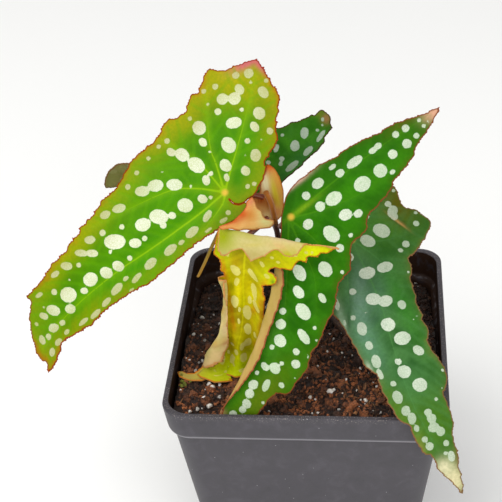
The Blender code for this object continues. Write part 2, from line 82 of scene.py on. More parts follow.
def linear(code):
    """Linear RGBA from an sRGB hex colour."""
    channels = [int(code[k:k + 2], 16) / 255 for k in (1, 3, 5)]
    return (*[c / 12.92 if c <= 0.04045 else ((c + 0.055) / 1.055) ** 2.4 for c in channels], 1.0)


def fill(tree, node, inputs):
    """Give each input a value, or a link where a socket is given, or a node for its first output."""
    for key, value in dict(inputs).items():
        if isinstance(value, bpy.types.Node):
            value = value.outputs[0]
        if isinstance(value, bpy.types.NodeSocket):
            tree.links.new(value, node.inputs[key])
        else:
            node.inputs[key].default_value = value
    return node


def add(tree, kind, inputs=(), **settings):
    """Add a node with its settings, and fill its inputs."""
    node = tree.nodes.new(kind)
    for name, value in settings.items():
        setattr(node, name, value)
    return fill(tree, node, inputs)


def maths(tree, operation, *values):
    """Node that works out one sum of numbers or sockets."""
    return add(tree, "ShaderNodeMath", dict(enumerate(values)), operation=operation)


def in_scene(name, data):
    """New object in the scene that shows this data."""
    item = bpy.data.objects.new(name, data)
    bpy.context.scene.collection.objects.link(item)
    return item


def mesh_object(name, points, faces, materials=()):
    """Smooth mesh object from points in millimetres."""
    mesh = bpy.data.meshes.new(name)
    mesh.from_pydata((np.array(points) * MM).tolist(), [], faces)
    mesh.update()
    mesh.shade_smooth()
    for material in materials:
        mesh.materials.append(material)
    return in_scene(name, mesh)


def register(piece, slot, *nodes):
    """Hang the piece on the root and hide the nodes it stands for. The slot is not used."""
    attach(piece, "root")
    if nodes:
        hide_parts(*nodes)
    print(f"{piece.name}: {len(piece.data.polygons)} faces")


# %% Material helpers


def new_material(name):
    """New material and its node tree."""
    material = bpy.data.materials.new(name)
    material.use_nodes = True
    return material, material.node_tree


def stored(tree, name):
    """Value that the mesh stores at each point."""
    return add(tree, "ShaderNodeAttribute", attribute_name=name)


def object_place(tree):
    """Place on the object, in metres."""
    return add(tree, "ShaderNodeTexCoord").outputs["Object"]


def stretched(tree, vector, scale):
    """The same place with its axes stretched."""
    return add(tree, "ShaderNodeMapping", {"Vector": vector, "Scale": scale})


def cloud(tree, vector, scale, detail, roughness=0.5, distortion=0.0):
    """Soft noise."""
    return add(tree, "ShaderNodeTexNoise", {"Vector": vector, "Scale": scale, "Detail": detail,
                                            "Roughness": roughness, "Distortion": distortion})


def cells(tree, vector, scale, feature="F1"):
    """Cells of uneven shape."""
    return add(tree, "ShaderNodeTexVoronoi", {"Vector": vector, "Scale": scale}, feature=feature)


def ramp(tree, value, low, high, at_low=0.0, at_high=1.0, kind="LINEAR"):
    """Map a value from one span to another and hold it at both ends."""
    spans = {"Value": value, "From Min": low, "From Max": high, "To Min": at_low, "To Max": at_high}
    return add(tree, "ShaderNodeMapRange", spans, interpolation_type=kind)


def eased(tree, value, low, high, at_low=0.0, at_high=1.0):
    """Ramp that starts and ends softly."""
    return ramp(tree, value, low, high, at_low, at_high, "SMOOTHSTEP")


def as_colour(colour):
    """Linear colour of a hex code. A socket stays as it is."""
    return linear(colour) if isinstance(colour, str) else colour


def laid_over(tree, colour, coats):
    """Base colour with coats laid over it in turn. A coat is (amount, colour)."""
    colour = as_colour(colour)
    for amount, coat in coats:
        mixed = add(tree, "ShaderNodeMix", {0: amount, 6: colour, 7: as_colour(coat)}, data_type="RGBA")
        colour = mixed.outputs[2]
    return colour


def dress(tree, colour, height, constants, strength, depth):
    """Give the shader its colour, a relief with its depth in millimetres, and the rest of its values."""
    relief = add(tree, "ShaderNodeBump", {"Height": height, "Strength": strength, "Distance": depth * MM})
    fill(tree, tree.nodes["Principled BSDF"], {"Base Color": colour, "Normal": relief, **constants})


# %% [markdown]
# ## Camera, floor and light
#
# The photo looks down on the plant from the front. The camera was worked out from the four corners of the
# pot's rim, which is 100 mm square. The floor is a plain pale sheet, and two large soft lights and a
# bright surround keep the shadows faint, as on an overcast day by a window.

# %% Camera
PHOTO_WIDTH = 502
FOCAL_PIXELS = 1326
CAMERA_YAW = -6.67
CAMERA_PITCH = 35.93
CAMERA_ROLL = -3.58
CAMERA_TARGET = (0, 0, 90)
TARGET_IN_VIEW = (21.9, -28.1, 493.3)


def photo_camera():
    """Camera at the photo's place. Its axes are built from yaw, pitch and roll."""
    yaw, pitch, roll = radians(CAMERA_YAW), radians(CAMERA_PITCH), radians(CAMERA_ROLL)
    forward = Vector((sin(yaw) * cos(pitch), cos(yaw) * cos(pitch), -sin(pitch)))
    right = Vector((cos(yaw), -sin(yaw), 0))
    up = right.cross(forward)
    axes = (cos(roll) * right + sin(roll) * up, cos(roll) * up - sin(roll) * right, forward)
    eye = Vector(CAMERA_TARGET)
    for axis, part in zip(axes, TARGET_IN_VIEW):
        eye -= axis * part
    data = bpy.data.cameras.new("photo_camera")
    data.sensor_width = 36
    data.lens = data.sensor_width * FOCAL_PIXELS / PHOTO_WIDTH
    camera = in_scene("photo_camera", data)
    turn = Matrix((axes[0], axes[1], -forward)).transposed()
    camera.matrix_world = Matrix.Translation(eye * MM) @ turn.to_4x4()
    bpy.context.scene.camera = camera
    return eye


print("camera at", [round(part) for part in photo_camera()], "mm")

# %% Floor and lights
FLOOR_SIDE = 6000


def soft_light(name, place, side, power):
    """Square area light that faces the plant."""
    data = bpy.data.lights.new(name, "AREA")
    data.size = side * MM
    data.energy = power
    light = in_scene(name, data)
    light.location = Vector(place) * MM
    light.rotation_euler = (Vector(CAMERA_TARGET) - Vector(place)).to_track_quat("-Z", "Y").to_euler()


half = FLOOR_SIDE / 2
paper, paper_tree = new_material("matt_white_paper")
fill(paper_tree, paper_tree.nodes["Principled BSDF"], {"Base Color": linear("#FAFAF8"), "Roughness": 0.9})
floor = mesh_object("floor", [(-half, -half, 0), (half, -half, 0), (half, half, 0), (-half, half, 0)],
                    [(0, 1, 2, 3)], [paper])
floor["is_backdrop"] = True
soft_light("window_light", (-400, -300, 900), 700, 5.0)
soft_light("fill_light", (250, -800, 450), 700, 3.2)
world = bpy.data.worlds.new("bright_surround")
world.use_nodes = True
fill(world.node_tree, world.node_tree.nodes["Background"], {"Color": linear("#FFFFFF"), "Strength": 0.7})
bpy.context.scene.world = world
bpy.context.scene.view_settings.view_transform = "Standard"

# %% [markdown]
# ## How a leaf blade is made
#
# A begonia leaf is lopsided: its midrib runs down one side, and the other half is twice as wide. Each blade
# is drawn flat, in millimetres, as a few margin points: (right of the midrib, along the midrib). It is cut
# into small triangles while flat, and every point is then carried to its place by the droop, twist and
# curl of the leaf. A cloth simulation would droop the leaf too, but no one could say where its tip ends.
#
# The margin points were read off the photo. A separate calculation carried most of them to the flat blade,
# back through the camera and the pose of the leaf, so many of these numbers are its results.
#
# Drawing the blade flat has a second use. Spots, veins and the margin stay simple flat shapes, and each
# point can store how far it lies from them for the material to read.

# %% The drawing of a blade
Blade = namedtuple(
    "Blade",
    "name node place turn outline bend twist halves creases veins spots hidden washes relief tooth pillow",
    defaults=((), ((0, 0), (1, 0)), ((0, 0), (1, 0)), ((0, 0), (0, 0)), (), (), (), (), (), None, 0.4, 0.35),
)
Crease = namedtuple("Crease", "centre radius roll turn")

STATION_STEP = 0.5
STATION_RANGE = (-80, 130)


def direction_frame(heading, rise, roll):
    """Across, along and face directions of a blade that heads, rises and rolls by these degrees."""
    heading, rise, roll = radians(heading), radians(rise), radians(roll)
    along = np.array([cos(rise) * cos(heading), cos(rise) * sin(heading), sin(rise)])
    right = np.array([sin(heading), -cos(heading), 0])
    across = cos(roll) * right + sin(roll) * np.cross(right, along)
    return across, along, np.cross(across, along)


def roll_edges(blade, across, along, offset):
    """Roll what lies beyond each crease over the upper face. A crease is an arc whose inside is rolled."""
    lift = offset
    for crease in blade.creases:
        away = np.stack([crease.centre[0] - across, crease.centre[1] - along])
        distance = np.hypot(*away)
        beyond = np.maximum(crease.radius - distance, 0)
        turn = radians(crease.turn)
        angle = np.minimum(beyond / crease.roll, turn)
        rest = beyond - angle * crease.roll
        reach = (crease.roll - offset) * np.sin(angle) + rest * cos(turn)
        shift = (reach - beyond) / distance
        across = across + shift * away[0]
        along = along + shift * away[1]
        lift = lift + (crease.roll - offset) * (1 - np.cos(angle)) + rest * sin(turn)
    return across, along, lift


def curl(width, angle, degrees_per_100):
    """Run and height of a line of this width that leaves at an angle and curls down."""
    rate = radians(degrees_per_100) / 100 + 1e-9
    end = angle - rate * width
    return (np.sin(angle) - np.sin(end)) / rate, (np.cos(end) - np.cos(angle)) / rate


def bent_place(blade, across, along):
    """Place of flat blade points after the droop, twist and curl of the blade."""
    right, forward, face = direction_frame(*blade.turn)
    stations = np.arange(*STATION_RANGE, STATION_STEP)
    droop = np.radians(np.interp(stations, *zip(*blade.bend)))
    middle = (droop[1:] + droop[:-1]) / 2
    run = np.concatenate([[0], np.cumsum(np.cos(middle)) * STATION_STEP])
    fall = np.concatenate([[0], np.cumsum(np.sin(middle)) * STATION_STEP])
    run = np.interp(along, stations, run) - np.interp(0, stations, run)
    fall = np.interp(along, stations, fall) - np.interp(0, stations, fall)
    droop = np.interp(along, stations, droop)[:, None]
    twist = np.radians(np.interp(along, *zip(*blade.twist)))[:, None]
    normal = np.cos(droop) * face + np.sin(droop) * forward
    side = np.cos(twist) * right + np.sin(twist) * normal
    normal = np.cos(twist) * normal - np.sin(twist) * right
    (left_angle, left_curl), (right_angle, right_curl) = blade.halves
    left_run, left_rise = curl(np.maximum(-across, 0), radians(left_angle), left_curl)
    right_run, right_rise = curl(np.maximum(across, 0), radians(right_angle), right_curl)
    height = left_rise + right_rise
    if blade.relief:
        height = height + blade.relief(across, along)
    place = np.array(blade.place) + run[:, None] * forward - fall[:, None] * face
    return place + (right_run - left_run)[:, None] * side + height[:, None] * normal


def blade_place(blade, flat, offset):
    """Place of flat points on the finished blade, each lifted by its offset from the blade's middle."""
    across, along, lift = roll_edges(blade, flat[:, 0], flat[:, 1], offset)
    small = 0.05
    place = bent_place(blade, across, along)
    slope_right = bent_place(blade, across + small, along) - bent_place(blade, across - small, along)
    slope_along = bent_place(blade, across, along + small) - bent_place(blade, across, along - small)
    normal = np.cross(slope_right, slope_along)
    normal /= np.linalg.norm(normal, axis=1)[:, None]
    return place + lift[:, None] * normal


# %% [markdown]
# ## The toothed margin and the veins
#
# Up close the margin is not a smooth line: saw teeth stand about 4 mm apart, with finer ones between them.
# A seeded draw sets their size, so that they differ along the margin and are the same in each run. Near
# the stalk, where the two lobes lie close together, the teeth fade out.
#
# Main veins fan out from the stalk and are listed. Side veins follow a rule: they leave a main vein
# in pairs, curve towards the margin, and stop where they meet those of the next main vein.

# %% Margin and veins
TOOTH_PITCH = 1.2
LARGE_TOOTH_PITCH = 4.2
TOOTHLESS_RADIUS = 8.5
TOOTH_FADE = 6.0
FINE_SPACING = 0.75
MARGIN_SEED = 11
FAR = 99.0
MIDRIB_FADE = 1.3
VEIN_FADE = 2.2
SIDE_VEIN_PITCH = 5.5
SIDE_VEIN_LENGTH = 17
SIDE_VEIN_POINTS = 9


def smooth_route(points, step):
    """Catmull-Rom curve through a few points, read about every step millimetres."""
    route = [np.array(point, float) for point in points]
    route = [2 * route[0] - route[1]] + route + [2 * route[-1] - route[-2]]
    out = []
    for a, b, c, d in zip(route, route[1:], route[2:], route[3:]):
        count = max(1, round(np.linalg.norm(c - b) / step))
        for k in range(count):
            t = k / count
            out.append(0.5 * (2 * b + (c - a) * t + (2 * a - 5 * b + 4 * c - d) * t * t
                              + (3 * b - a - 3 * c + d) * t ** 3))
    out.append(route[-2])
    return np.array(out)


def smooth_outline(blade):
    """The closed margin as a smooth curve, read at every tooth and notch."""
    outline = [np.array(point, float) for point in blade.outline]
    points = []
    for k in range(len(outline)):
        a, b, c, d = (outline[(k + j - 1) % len(outline)] for j in range(4))
        steps = max(1, round(np.linalg.norm(c - b) / (TOOTH_PITCH / 2)))
        for step in range(steps):
            t = step / steps
            pull = 0.25 * t * (1 - t)
            points.append(b + (c - b) * t + pull * ((c - a) * (1 - t) - (d - b) * t))
    return np.array(points)


def toothed_margin(blade):
    """Margin of the flat blade, with large saw teeth and fine ones that stand out by uneven amounts."""
    points = smooth_outline(blade)
    ahead = np.roll(points, -1, axis=0) - np.roll(points, 1, axis=0)
    outward = np.stack([ahead[:, 1], -ahead[:, 0]], axis=1) / np.linalg.norm(ahead, axis=1)[:, None]
    area = np.sum(points[:, 0] * np.roll(points[:, 1], -1) - points[:, 1] * np.roll(points[:, 0], -1))
    draw = np.random.default_rng(MARGIN_SEED)
    fine = 0.5 * draw.uniform(0.1, 1, len(points)) * (np.arange(len(points)) % 2 - 0.4)
    steps = np.linalg.norm(np.diff(points, axis=0, prepend=points[:1]), axis=1)
    number, share = np.divmod(np.cumsum(steps) / LARGE_TOOTH_PITCH, 1)
    large = draw.uniform(0.3, 1, int(number.max()) + 1)[number.astype(int)] * (share ** 2 - 0.35)
    fade = np.clip((np.linalg.norm(points, axis=1) - TOOTHLESS_RADIUS) / TOOTH_FADE, 0, 1)
    depth = blade.tooth * (fine + large) * fade
    return points + outward * (depth * np.sign(area))[:, None]


def inside(points, margin):
    """Which points lie inside the closed margin, by counting crossings."""
    result = np.zeros(len(points), bool)
    for (ax, ay), (bx, by) in zip(margin, np.roll(margin, -1, axis=0)):
        if ay == by:
            continue
        crosses = (ay > points[:, 1]) != (by > points[:, 1])
        result ^= crosses & (points[:, 0] < (bx - ax) * (points[:, 1] - ay) / (by - ay) + ax)
    return result


def line_distance(points, line, width=0.0, fade=1.0):
    """Distance of each point from a line of points, less the line's half width, which fades to its end."""
    best = np.full(len(points), FAR)
    for k, (start, end) in enumerate(zip(line, line[1:])):
        step = end - start
        share = np.clip(((points - start) @ step) / (step @ step), 0, 1)
        gap = np.linalg.norm(points - start - share[:, None] * step, axis=1)
        best = np.minimum(best, gap - width * (1 - fade * k / len(line)))
    return best


def side_veins(blade, margin):
    """Side veins that leave the main veins in pairs and curve towards the blade's margin."""
    mains = [smooth_route(vein, SIDE_VEIN_PITCH) for vein in blade.veins]
    lines = []
    for number, main in enumerate(mains):
        others = mains[:number] + mains[number + 1:]
        for k in range(1, len(main) - 1):
            ahead = (main[k + 1] - main[k - 1]) / np.linalg.norm(main[k + 1] - main[k - 1])
            for side in (-1, 1):
                out = side * np.array([ahead[1], -ahead[0]])
                start = main[k] + side * SIDE_VEIN_PITCH / 4 * ahead
                share = np.linspace(0, 1, SIDE_VEIN_POINTS)[:, None]
                line = start + SIDE_VEIN_LENGTH * share * (0.8 * out + (0.5 + 0.4 * share) * ahead)
                keep = inside(line, margin)
                for other in others:
                    keep &= line_distance(line, other) > 0.8 * line_distance(line, main)
                count = len(line) if keep.all() else int(np.argmin(keep))
                if count > 2:
                    lines.append(line[:count])
    return lines


# %% [markdown]
# ## Triangles and stored distances
#
# The flat blade is cut by a Delaunay triangulation: points on the margin, on the veins, along the rolled
# edges, and a staggered grid between them. The same triangles make both faces, joined round the margin,
# so the blade is one thin closed solid.
#
# Each point keeps six things for the material: its flat place, its distance from the nearest spot, main
# vein, side vein and margin, and a soft wash of colour. Distances blend evenly from point to point, so a
# spot's edge drawn where its distance is zero stays crisp however large the triangles are.

# %% Triangles
BLADE_THICKNESS = 0.4
CREASE_SHARES = (0, 0.15, 0.3, 0.45, 0.6, 0.75, 0.9, 1.05)


def clear_of(points, others, distance):
    """Keep the points that lie at least this far from all the others."""
    gaps = np.linalg.norm(points.reshape(-1, 1, 2) - others, axis=2)
    return points[gaps.min(axis=1) > distance]


def inner_lines(blade, margin):
    """Points that the triangles must meet inside the blade: on its main veins and along its rolled edges."""
    lines = [smooth_route(vein, FINE_SPACING) for vein in blade.veins]
    for crease in blade.creases:
        for share in CREASE_SHARES:
            radius = crease.radius - share * crease.roll * radians(crease.turn)
            angle = np.arange(0, 2 * pi, FINE_SPACING / radius)
            lines.append(np.array(crease.centre) + radius * np.stack([np.cos(angle), np.sin(angle)], axis=1))
    return [clear_of(line[inside(line, margin)], margin, FINE_SPACING / 2) for line in lines]


def flat_triangles(blade, margin):
    """Flat blade cut into small triangles: margin, inner lines and a staggered grid between them."""
    low, high = margin.min(axis=0), margin.max(axis=0)
    rows = np.arange(low[1], high[1], FINE_SPACING * 0.87)
    grid = np.array([(x + FINE_SPACING / 2 * (k % 2), y)
                     for k, y in enumerate(rows) for x in np.arange(low[0], high[0], FINE_SPACING)])
    fixed = np.concatenate([margin, *inner_lines(blade, margin)])
    grid = clear_of(grid[inside(grid, margin)], fixed, FINE_SPACING * 0.55)
    points = np.concatenate([fixed, grid])
    edges = [(k, (k + 1) % len(margin)) for k in range(len(margin))]
    flat, _, faces, *_ = delaunay_2d_cdt([Vector(point) for point in points], edges, [], 0, 1e-4)
    flat = np.array([tuple(point) for point in flat])
    faces = np.array([tuple(face) for face in faces])
    faces = faces[inside(flat[faces].mean(axis=1), margin)]
    used, numbers = np.unique(faces, return_inverse=True)
    flat, faces = flat[used], numbers.reshape(faces.shape)
    corners = flat[faces]
    turned = np.cross(corners[:, 1] - corners[:, 0], corners[:, 2] - corners[:, 0]) < 0
    faces[turned] = faces[turned][:, ::-1]
    return flat, faces


# %% Spots and washes
HIDDEN_SPOT_PITCH = 7.5
HIDDEN_SPOT_DRIFT = 2
HIDDEN_SPOT_HALF_WIDTHS = (0.7, 1.2, 1.8, 2.2)
SPOT_SEED = 5


def spot_distance(flat, spots):
    """Distance from the edge of the nearest spot, negative inside it.

    A spot is (across, along, radius), or (across, along, half width, half length, lean), where lean turns
    its long axis from along towards across, in degrees.
    """
    best = np.full(len(flat), FAR)
    for across, along, half_width, *more in spots:
        half_length, lean = more or (half_width, 0)
        lean = radians(lean)
        right, ahead = flat[:, 0] - across, flat[:, 1] - along
        wide = right * cos(lean) - ahead * sin(lean)
        long = right * sin(lean) + ahead * cos(lean)
        near = np.hypot(wide / half_width, long / half_length)
        slope = np.hypot(wide / half_width ** 2, long / half_length ** 2)
        best = np.minimum(best, near * (near - 1) / np.maximum(slope, 1e-6))
    return best


def hidden_spots(blade):
    """Seeded spots, of the same kind, for the parts of a blade that the photo doesn't show."""
    draw = np.random.default_rng(SPOT_SEED)
    spots = []
    for left, right, low, high in blade.hidden:
        for across in np.arange(left, right, HIDDEN_SPOT_PITCH):
            for along in np.arange(low, high, HIDDEN_SPOT_PITCH):
                drift = draw.uniform(-HIDDEN_SPOT_DRIFT, HIDDEN_SPOT_DRIFT, 2)
                half_width = draw.choice(HIDDEN_SPOT_HALF_WIDTHS)
                half_length = half_width * draw.uniform(1.05, 1.4)
                lean = draw.uniform(0, 180)
                spots.append((across + drift[0], along + drift[1], half_width, half_length, lean))
    return spots


# Besides a blade's own patches of colour, some washes are painted light: a painted sheen, painted shade in
# folds, under a rolled edge and inside a sheath, and painted highlights on pleats.
def wash_colour(flat, washes):
    """Soft patches laid over each other. A wash is (across, along, half width, half length, lean, colour,
    strength), strongest at its middle. The alpha says how much of the blade's own colour it covers."""
    colour = np.zeros((len(flat), 3))
    cover = np.zeros(len(flat))
    for across, along, half_width, half_length, lean, code, strength in washes:
        lean = radians(lean)
        right, ahead = flat[:, 0] - across, flat[:, 1] - along
        wide = (right * cos(lean) - ahead * sin(lean)) / half_width
        long = (right * sin(lean) + ahead * cos(lean)) / half_length
        amount = strength * np.exp(-1.2 * (wide ** 2 + long ** 2))
        colour = colour * (1 - amount)[:, None] + amount[:, None] * np.array(linear(code)[:3])
        cover = cover * (1 - amount) + amount
    colour = colour / np.maximum(cover, 1e-6)[:, None]
    return np.concatenate([colour, cover[:, None]], axis=1)


# %% Blade builder
MAIN_VEIN_HALF_WIDTH = 0.3
GROOVE_DEPTH = 0.28
GROOVE_WIDTH = 0.7
SIDE_GROOVE_DEPTH = 0.13
SIDE_GROOVE_WIDTH = 0.6
PILLOW_SIZE = 9.0


def blade_relief(flat, pillow, vein, side, edge):
    """Height of the upper face: grooves over the veins, and soft swellings between them."""
    swell = np.array([noise.noise(Vector((*(point / PILLOW_SIZE), 4.2))) for point in flat])
    grooves = GROOVE_DEPTH * np.exp(-np.maximum(vein, 0) / GROOVE_WIDTH)
    grooves += SIDE_GROOVE_DEPTH * np.exp(-(side / SIDE_GROOVE_WIDTH) ** 2)
    return (pillow * swell - grooves) * np.clip(edge / 2, 0.15, 1)


def store(mesh, name, values, kind="FLOAT", field="value"):
    """Store one value for each point of the mesh."""
    attribute = mesh.attributes.new(name, kind, "POINT")
    attribute.data.foreach_set(field, np.ascontiguousarray(values, dtype=np.float32).ravel())


def make_blade(blade, upper, under, slot):
    """Thin closed solid with the upper face's material first and the underside's second."""
    margin = toothed_margin(blade)
    flat, faces = flat_triangles(blade, margin)
    lines = side_veins(blade, margin)
    fades = [MIDRIB_FADE] + [VEIN_FADE] * len(blade.veins)
    veins = [line_distance(flat, smooth_route(line, 2), MAIN_VEIN_HALF_WIDTH, fade)
             for line, fade in zip(blade.veins, fades)]
    nowhere = np.full(len(flat), FAR)
    vein = np.min([nowhere, *veins], axis=0)
    side = np.min([nowhere, *(line_distance(flat, line) for line in lines)], axis=0)
    edge = line_distance(flat, np.concatenate([margin, margin[:1]]))
    spot = spot_distance(flat, [*blade.spots, *hidden_spots(blade)])
    relief = blade_relief(flat, blade.pillow, vein, side, edge)
    top = blade_place(blade, flat, relief + BLADE_THICKNESS / 2)
    bottom = blade_place(blade, flat, relief - BLADE_THICKNESS / 2)
    count = len(flat)
    sides = {(a, b) for face in faces.tolist() for a, b in zip(face, face[1:] + face[:1])}
    rim = [(a, b) for a, b in sorted(sides) if (b, a) not in sides]
    solid = faces.tolist() + (faces[:, ::-1] + count).tolist()
    for a, b in rim:
        solid += [[b, a, a + count, b + count]]
    piece = mesh_object(blade.name, np.concatenate([top, bottom]), solid, [upper, under])
    mesh = piece.data
    mesh.polygons.foreach_set("material_index", [0] * len(faces) + [1] * (len(faces) + len(rim)))
    both = [np.concatenate([values, values]) for values in (spot, vein, side, edge)]
    for name, values in zip(("spot", "vein", "side", "edge"), both):
        store(mesh, name, values)
    place = np.concatenate([flat, np.zeros((count, 1))], axis=1)
    store(mesh, "flat", np.concatenate([place, place]), "FLOAT_VECTOR", "vector")
    wash = wash_colour(flat, blade.washes)
    store(mesh, "wash", np.concatenate([wash, wash]), "FLOAT_COLOR", "color")
    register(piece, slot, blade.node)
    return piece


# %% [markdown]
# ## Leaf skin
#
# A living leaf is a waxy skin over green tissue. The wax gives a soft, broad shine, with an IOR near 1.45.
# The silver spots are not paint: air under the skin scatters light there, so they are nearly white, a
# little rough, and crossed by fine green lines where the skin touches the tissue. The net of small veins
# shows as a faint relief.
#
# The material reads the distances stored on the blade. Flat leaf colours are laid over each other from
# the broadest to the finest: mottling, the tint near the margin, washes, side veins, main veins, spots,
# and the thin red margin. Young leaves carry red pigment near the margin, so the tint is broad there.

# %% Leaf materials
Palette = namedtuple("Palette", "light deep side vein spot spot_line margin rim flush")
MOTTLE_SIZE = 11.0
GRAIN_SIZE = 1.1
NET_SIZE = 2.2
CRACKLE_SIZE = 0.75
SKIN_CELL = 0.35
MARGIN_WIDTH = 0.5
RIM_TINT_WIDTH = 9.0
FLUSH_WIDTH = 2.0
JUNCTION_RADIUS = 1.8
JUNCTION_COLOUR = "#D8AC40"
TINT_FROM = 12.0
TINT_FULL = 26.0
RIM_WANDER = 7.0
VEIN_GLOW_WIDTH = 2.4
SPOT_DULLING = 0.3
LEAF_IOR = 1.45
LEAF_SHINE = 0.05


def leaf_skin(name, palette, roughness=0.42, spots=1.0, washed=1.0, rim=0.5, veins=1.0):
    """Leaf material. Spots, washes, the margin's tint and veins may be weaker, as on an underside."""
    material, tree = new_material(name)
    flat = stored(tree, "flat").outputs["Vector"]
    wash = stored(tree, "wash").outputs
    spot, vein, side, edge = (stored(tree, key).outputs["Fac"] for key in ("spot", "vein", "side", "edge"))
    mottle = cloud(tree, flat, 1 / MOTTLE_SIZE, 3)
    grain = cloud(tree, flat, 1 / GRAIN_SIZE, 4)
    crackle = cells(tree, flat, 1 / CRACKLE_SIZE, "DISTANCE_TO_EDGE")
    ragged = maths(tree, "MULTIPLY_ADD", grain, 0.5, spot)
    wandering = maths(tree, "MULTIPLY_ADD", mottle, RIM_WANDER, edge)
    inward = maths(tree, "SUBTRACT", wandering, RIM_WANDER / 2)
    length = add(tree, "ShaderNodeVectorMath", {0: flat}, operation="LENGTH").outputs["Value"]
    spot_colour = laid_over(tree, palette.spot, (
        (ramp(tree, crackle, 0.0, 0.12, 0.55, 0.0), palette.spot_line),
        (maths(tree, "MULTIPLY", wash["Alpha"], 0.3 * washed), wash["Color"]),
        (ramp(tree, mottle, 0.4, 0.62, 0.0, SPOT_DULLING), palette.spot_line),
        (eased(tree, inward, 0.5, 1.7 * RIM_TINT_WIDTH, 0.65 * rim, 0.0), palette.rim),
    ))
    flush = eased(tree, inward, 0.0, FLUSH_WIDTH, 0.9 * rim, 0.0)
    colour = laid_over(tree, palette.light, (
        (eased(tree, mottle, 0.35, 0.65), palette.deep),
        (eased(tree, inward, 0.5, RIM_TINT_WIDTH, rim, 0.0), palette.rim),
        (maths(tree, "MULTIPLY", flush, eased(tree, length, TINT_FROM, TINT_FULL)), palette.flush),
        (maths(tree, "MULTIPLY", wash["Alpha"], washed), wash["Color"]),
        (eased(tree, grain, 0.3, 0.7, 0.0, 0.22), palette.deep),
        (eased(tree, side, 0.1, 1.1, 0.35 * veins, 0.0), palette.side),
        (eased(tree, vein, 0.0, VEIN_GLOW_WIDTH, 0.22 * veins, 0.0), palette.vein),
        (eased(tree, vein, -0.15, 0.3, 0.8 * veins, 0.0), palette.vein),
        (eased(tree, ragged, 0.12, 0.38, spots, 0.0), spot_colour),
        (eased(tree, length, 0.3, JUNCTION_RADIUS, 0.85, 0.0), JUNCTION_COLOUR),
        (eased(tree, edge, MARGIN_WIDTH / 2, MARGIN_WIDTH, 0.9, 0.0), palette.margin),
    ))
    net = ramp(tree, cells(tree, flat, 1 / NET_SIZE, "DISTANCE_TO_EDGE"), 0.0, 0.15)
    height = maths(tree, "MULTIPLY_ADD", cells(tree, flat, 1 / SKIN_CELL), 0.35, net)
    wax = {"Roughness": roughness, "IOR": LEAF_IOR, "Specular IOR Level": LEAF_SHINE}
    dress(tree, colour, height, wax, strength=0.25, depth=0.15)
    return material
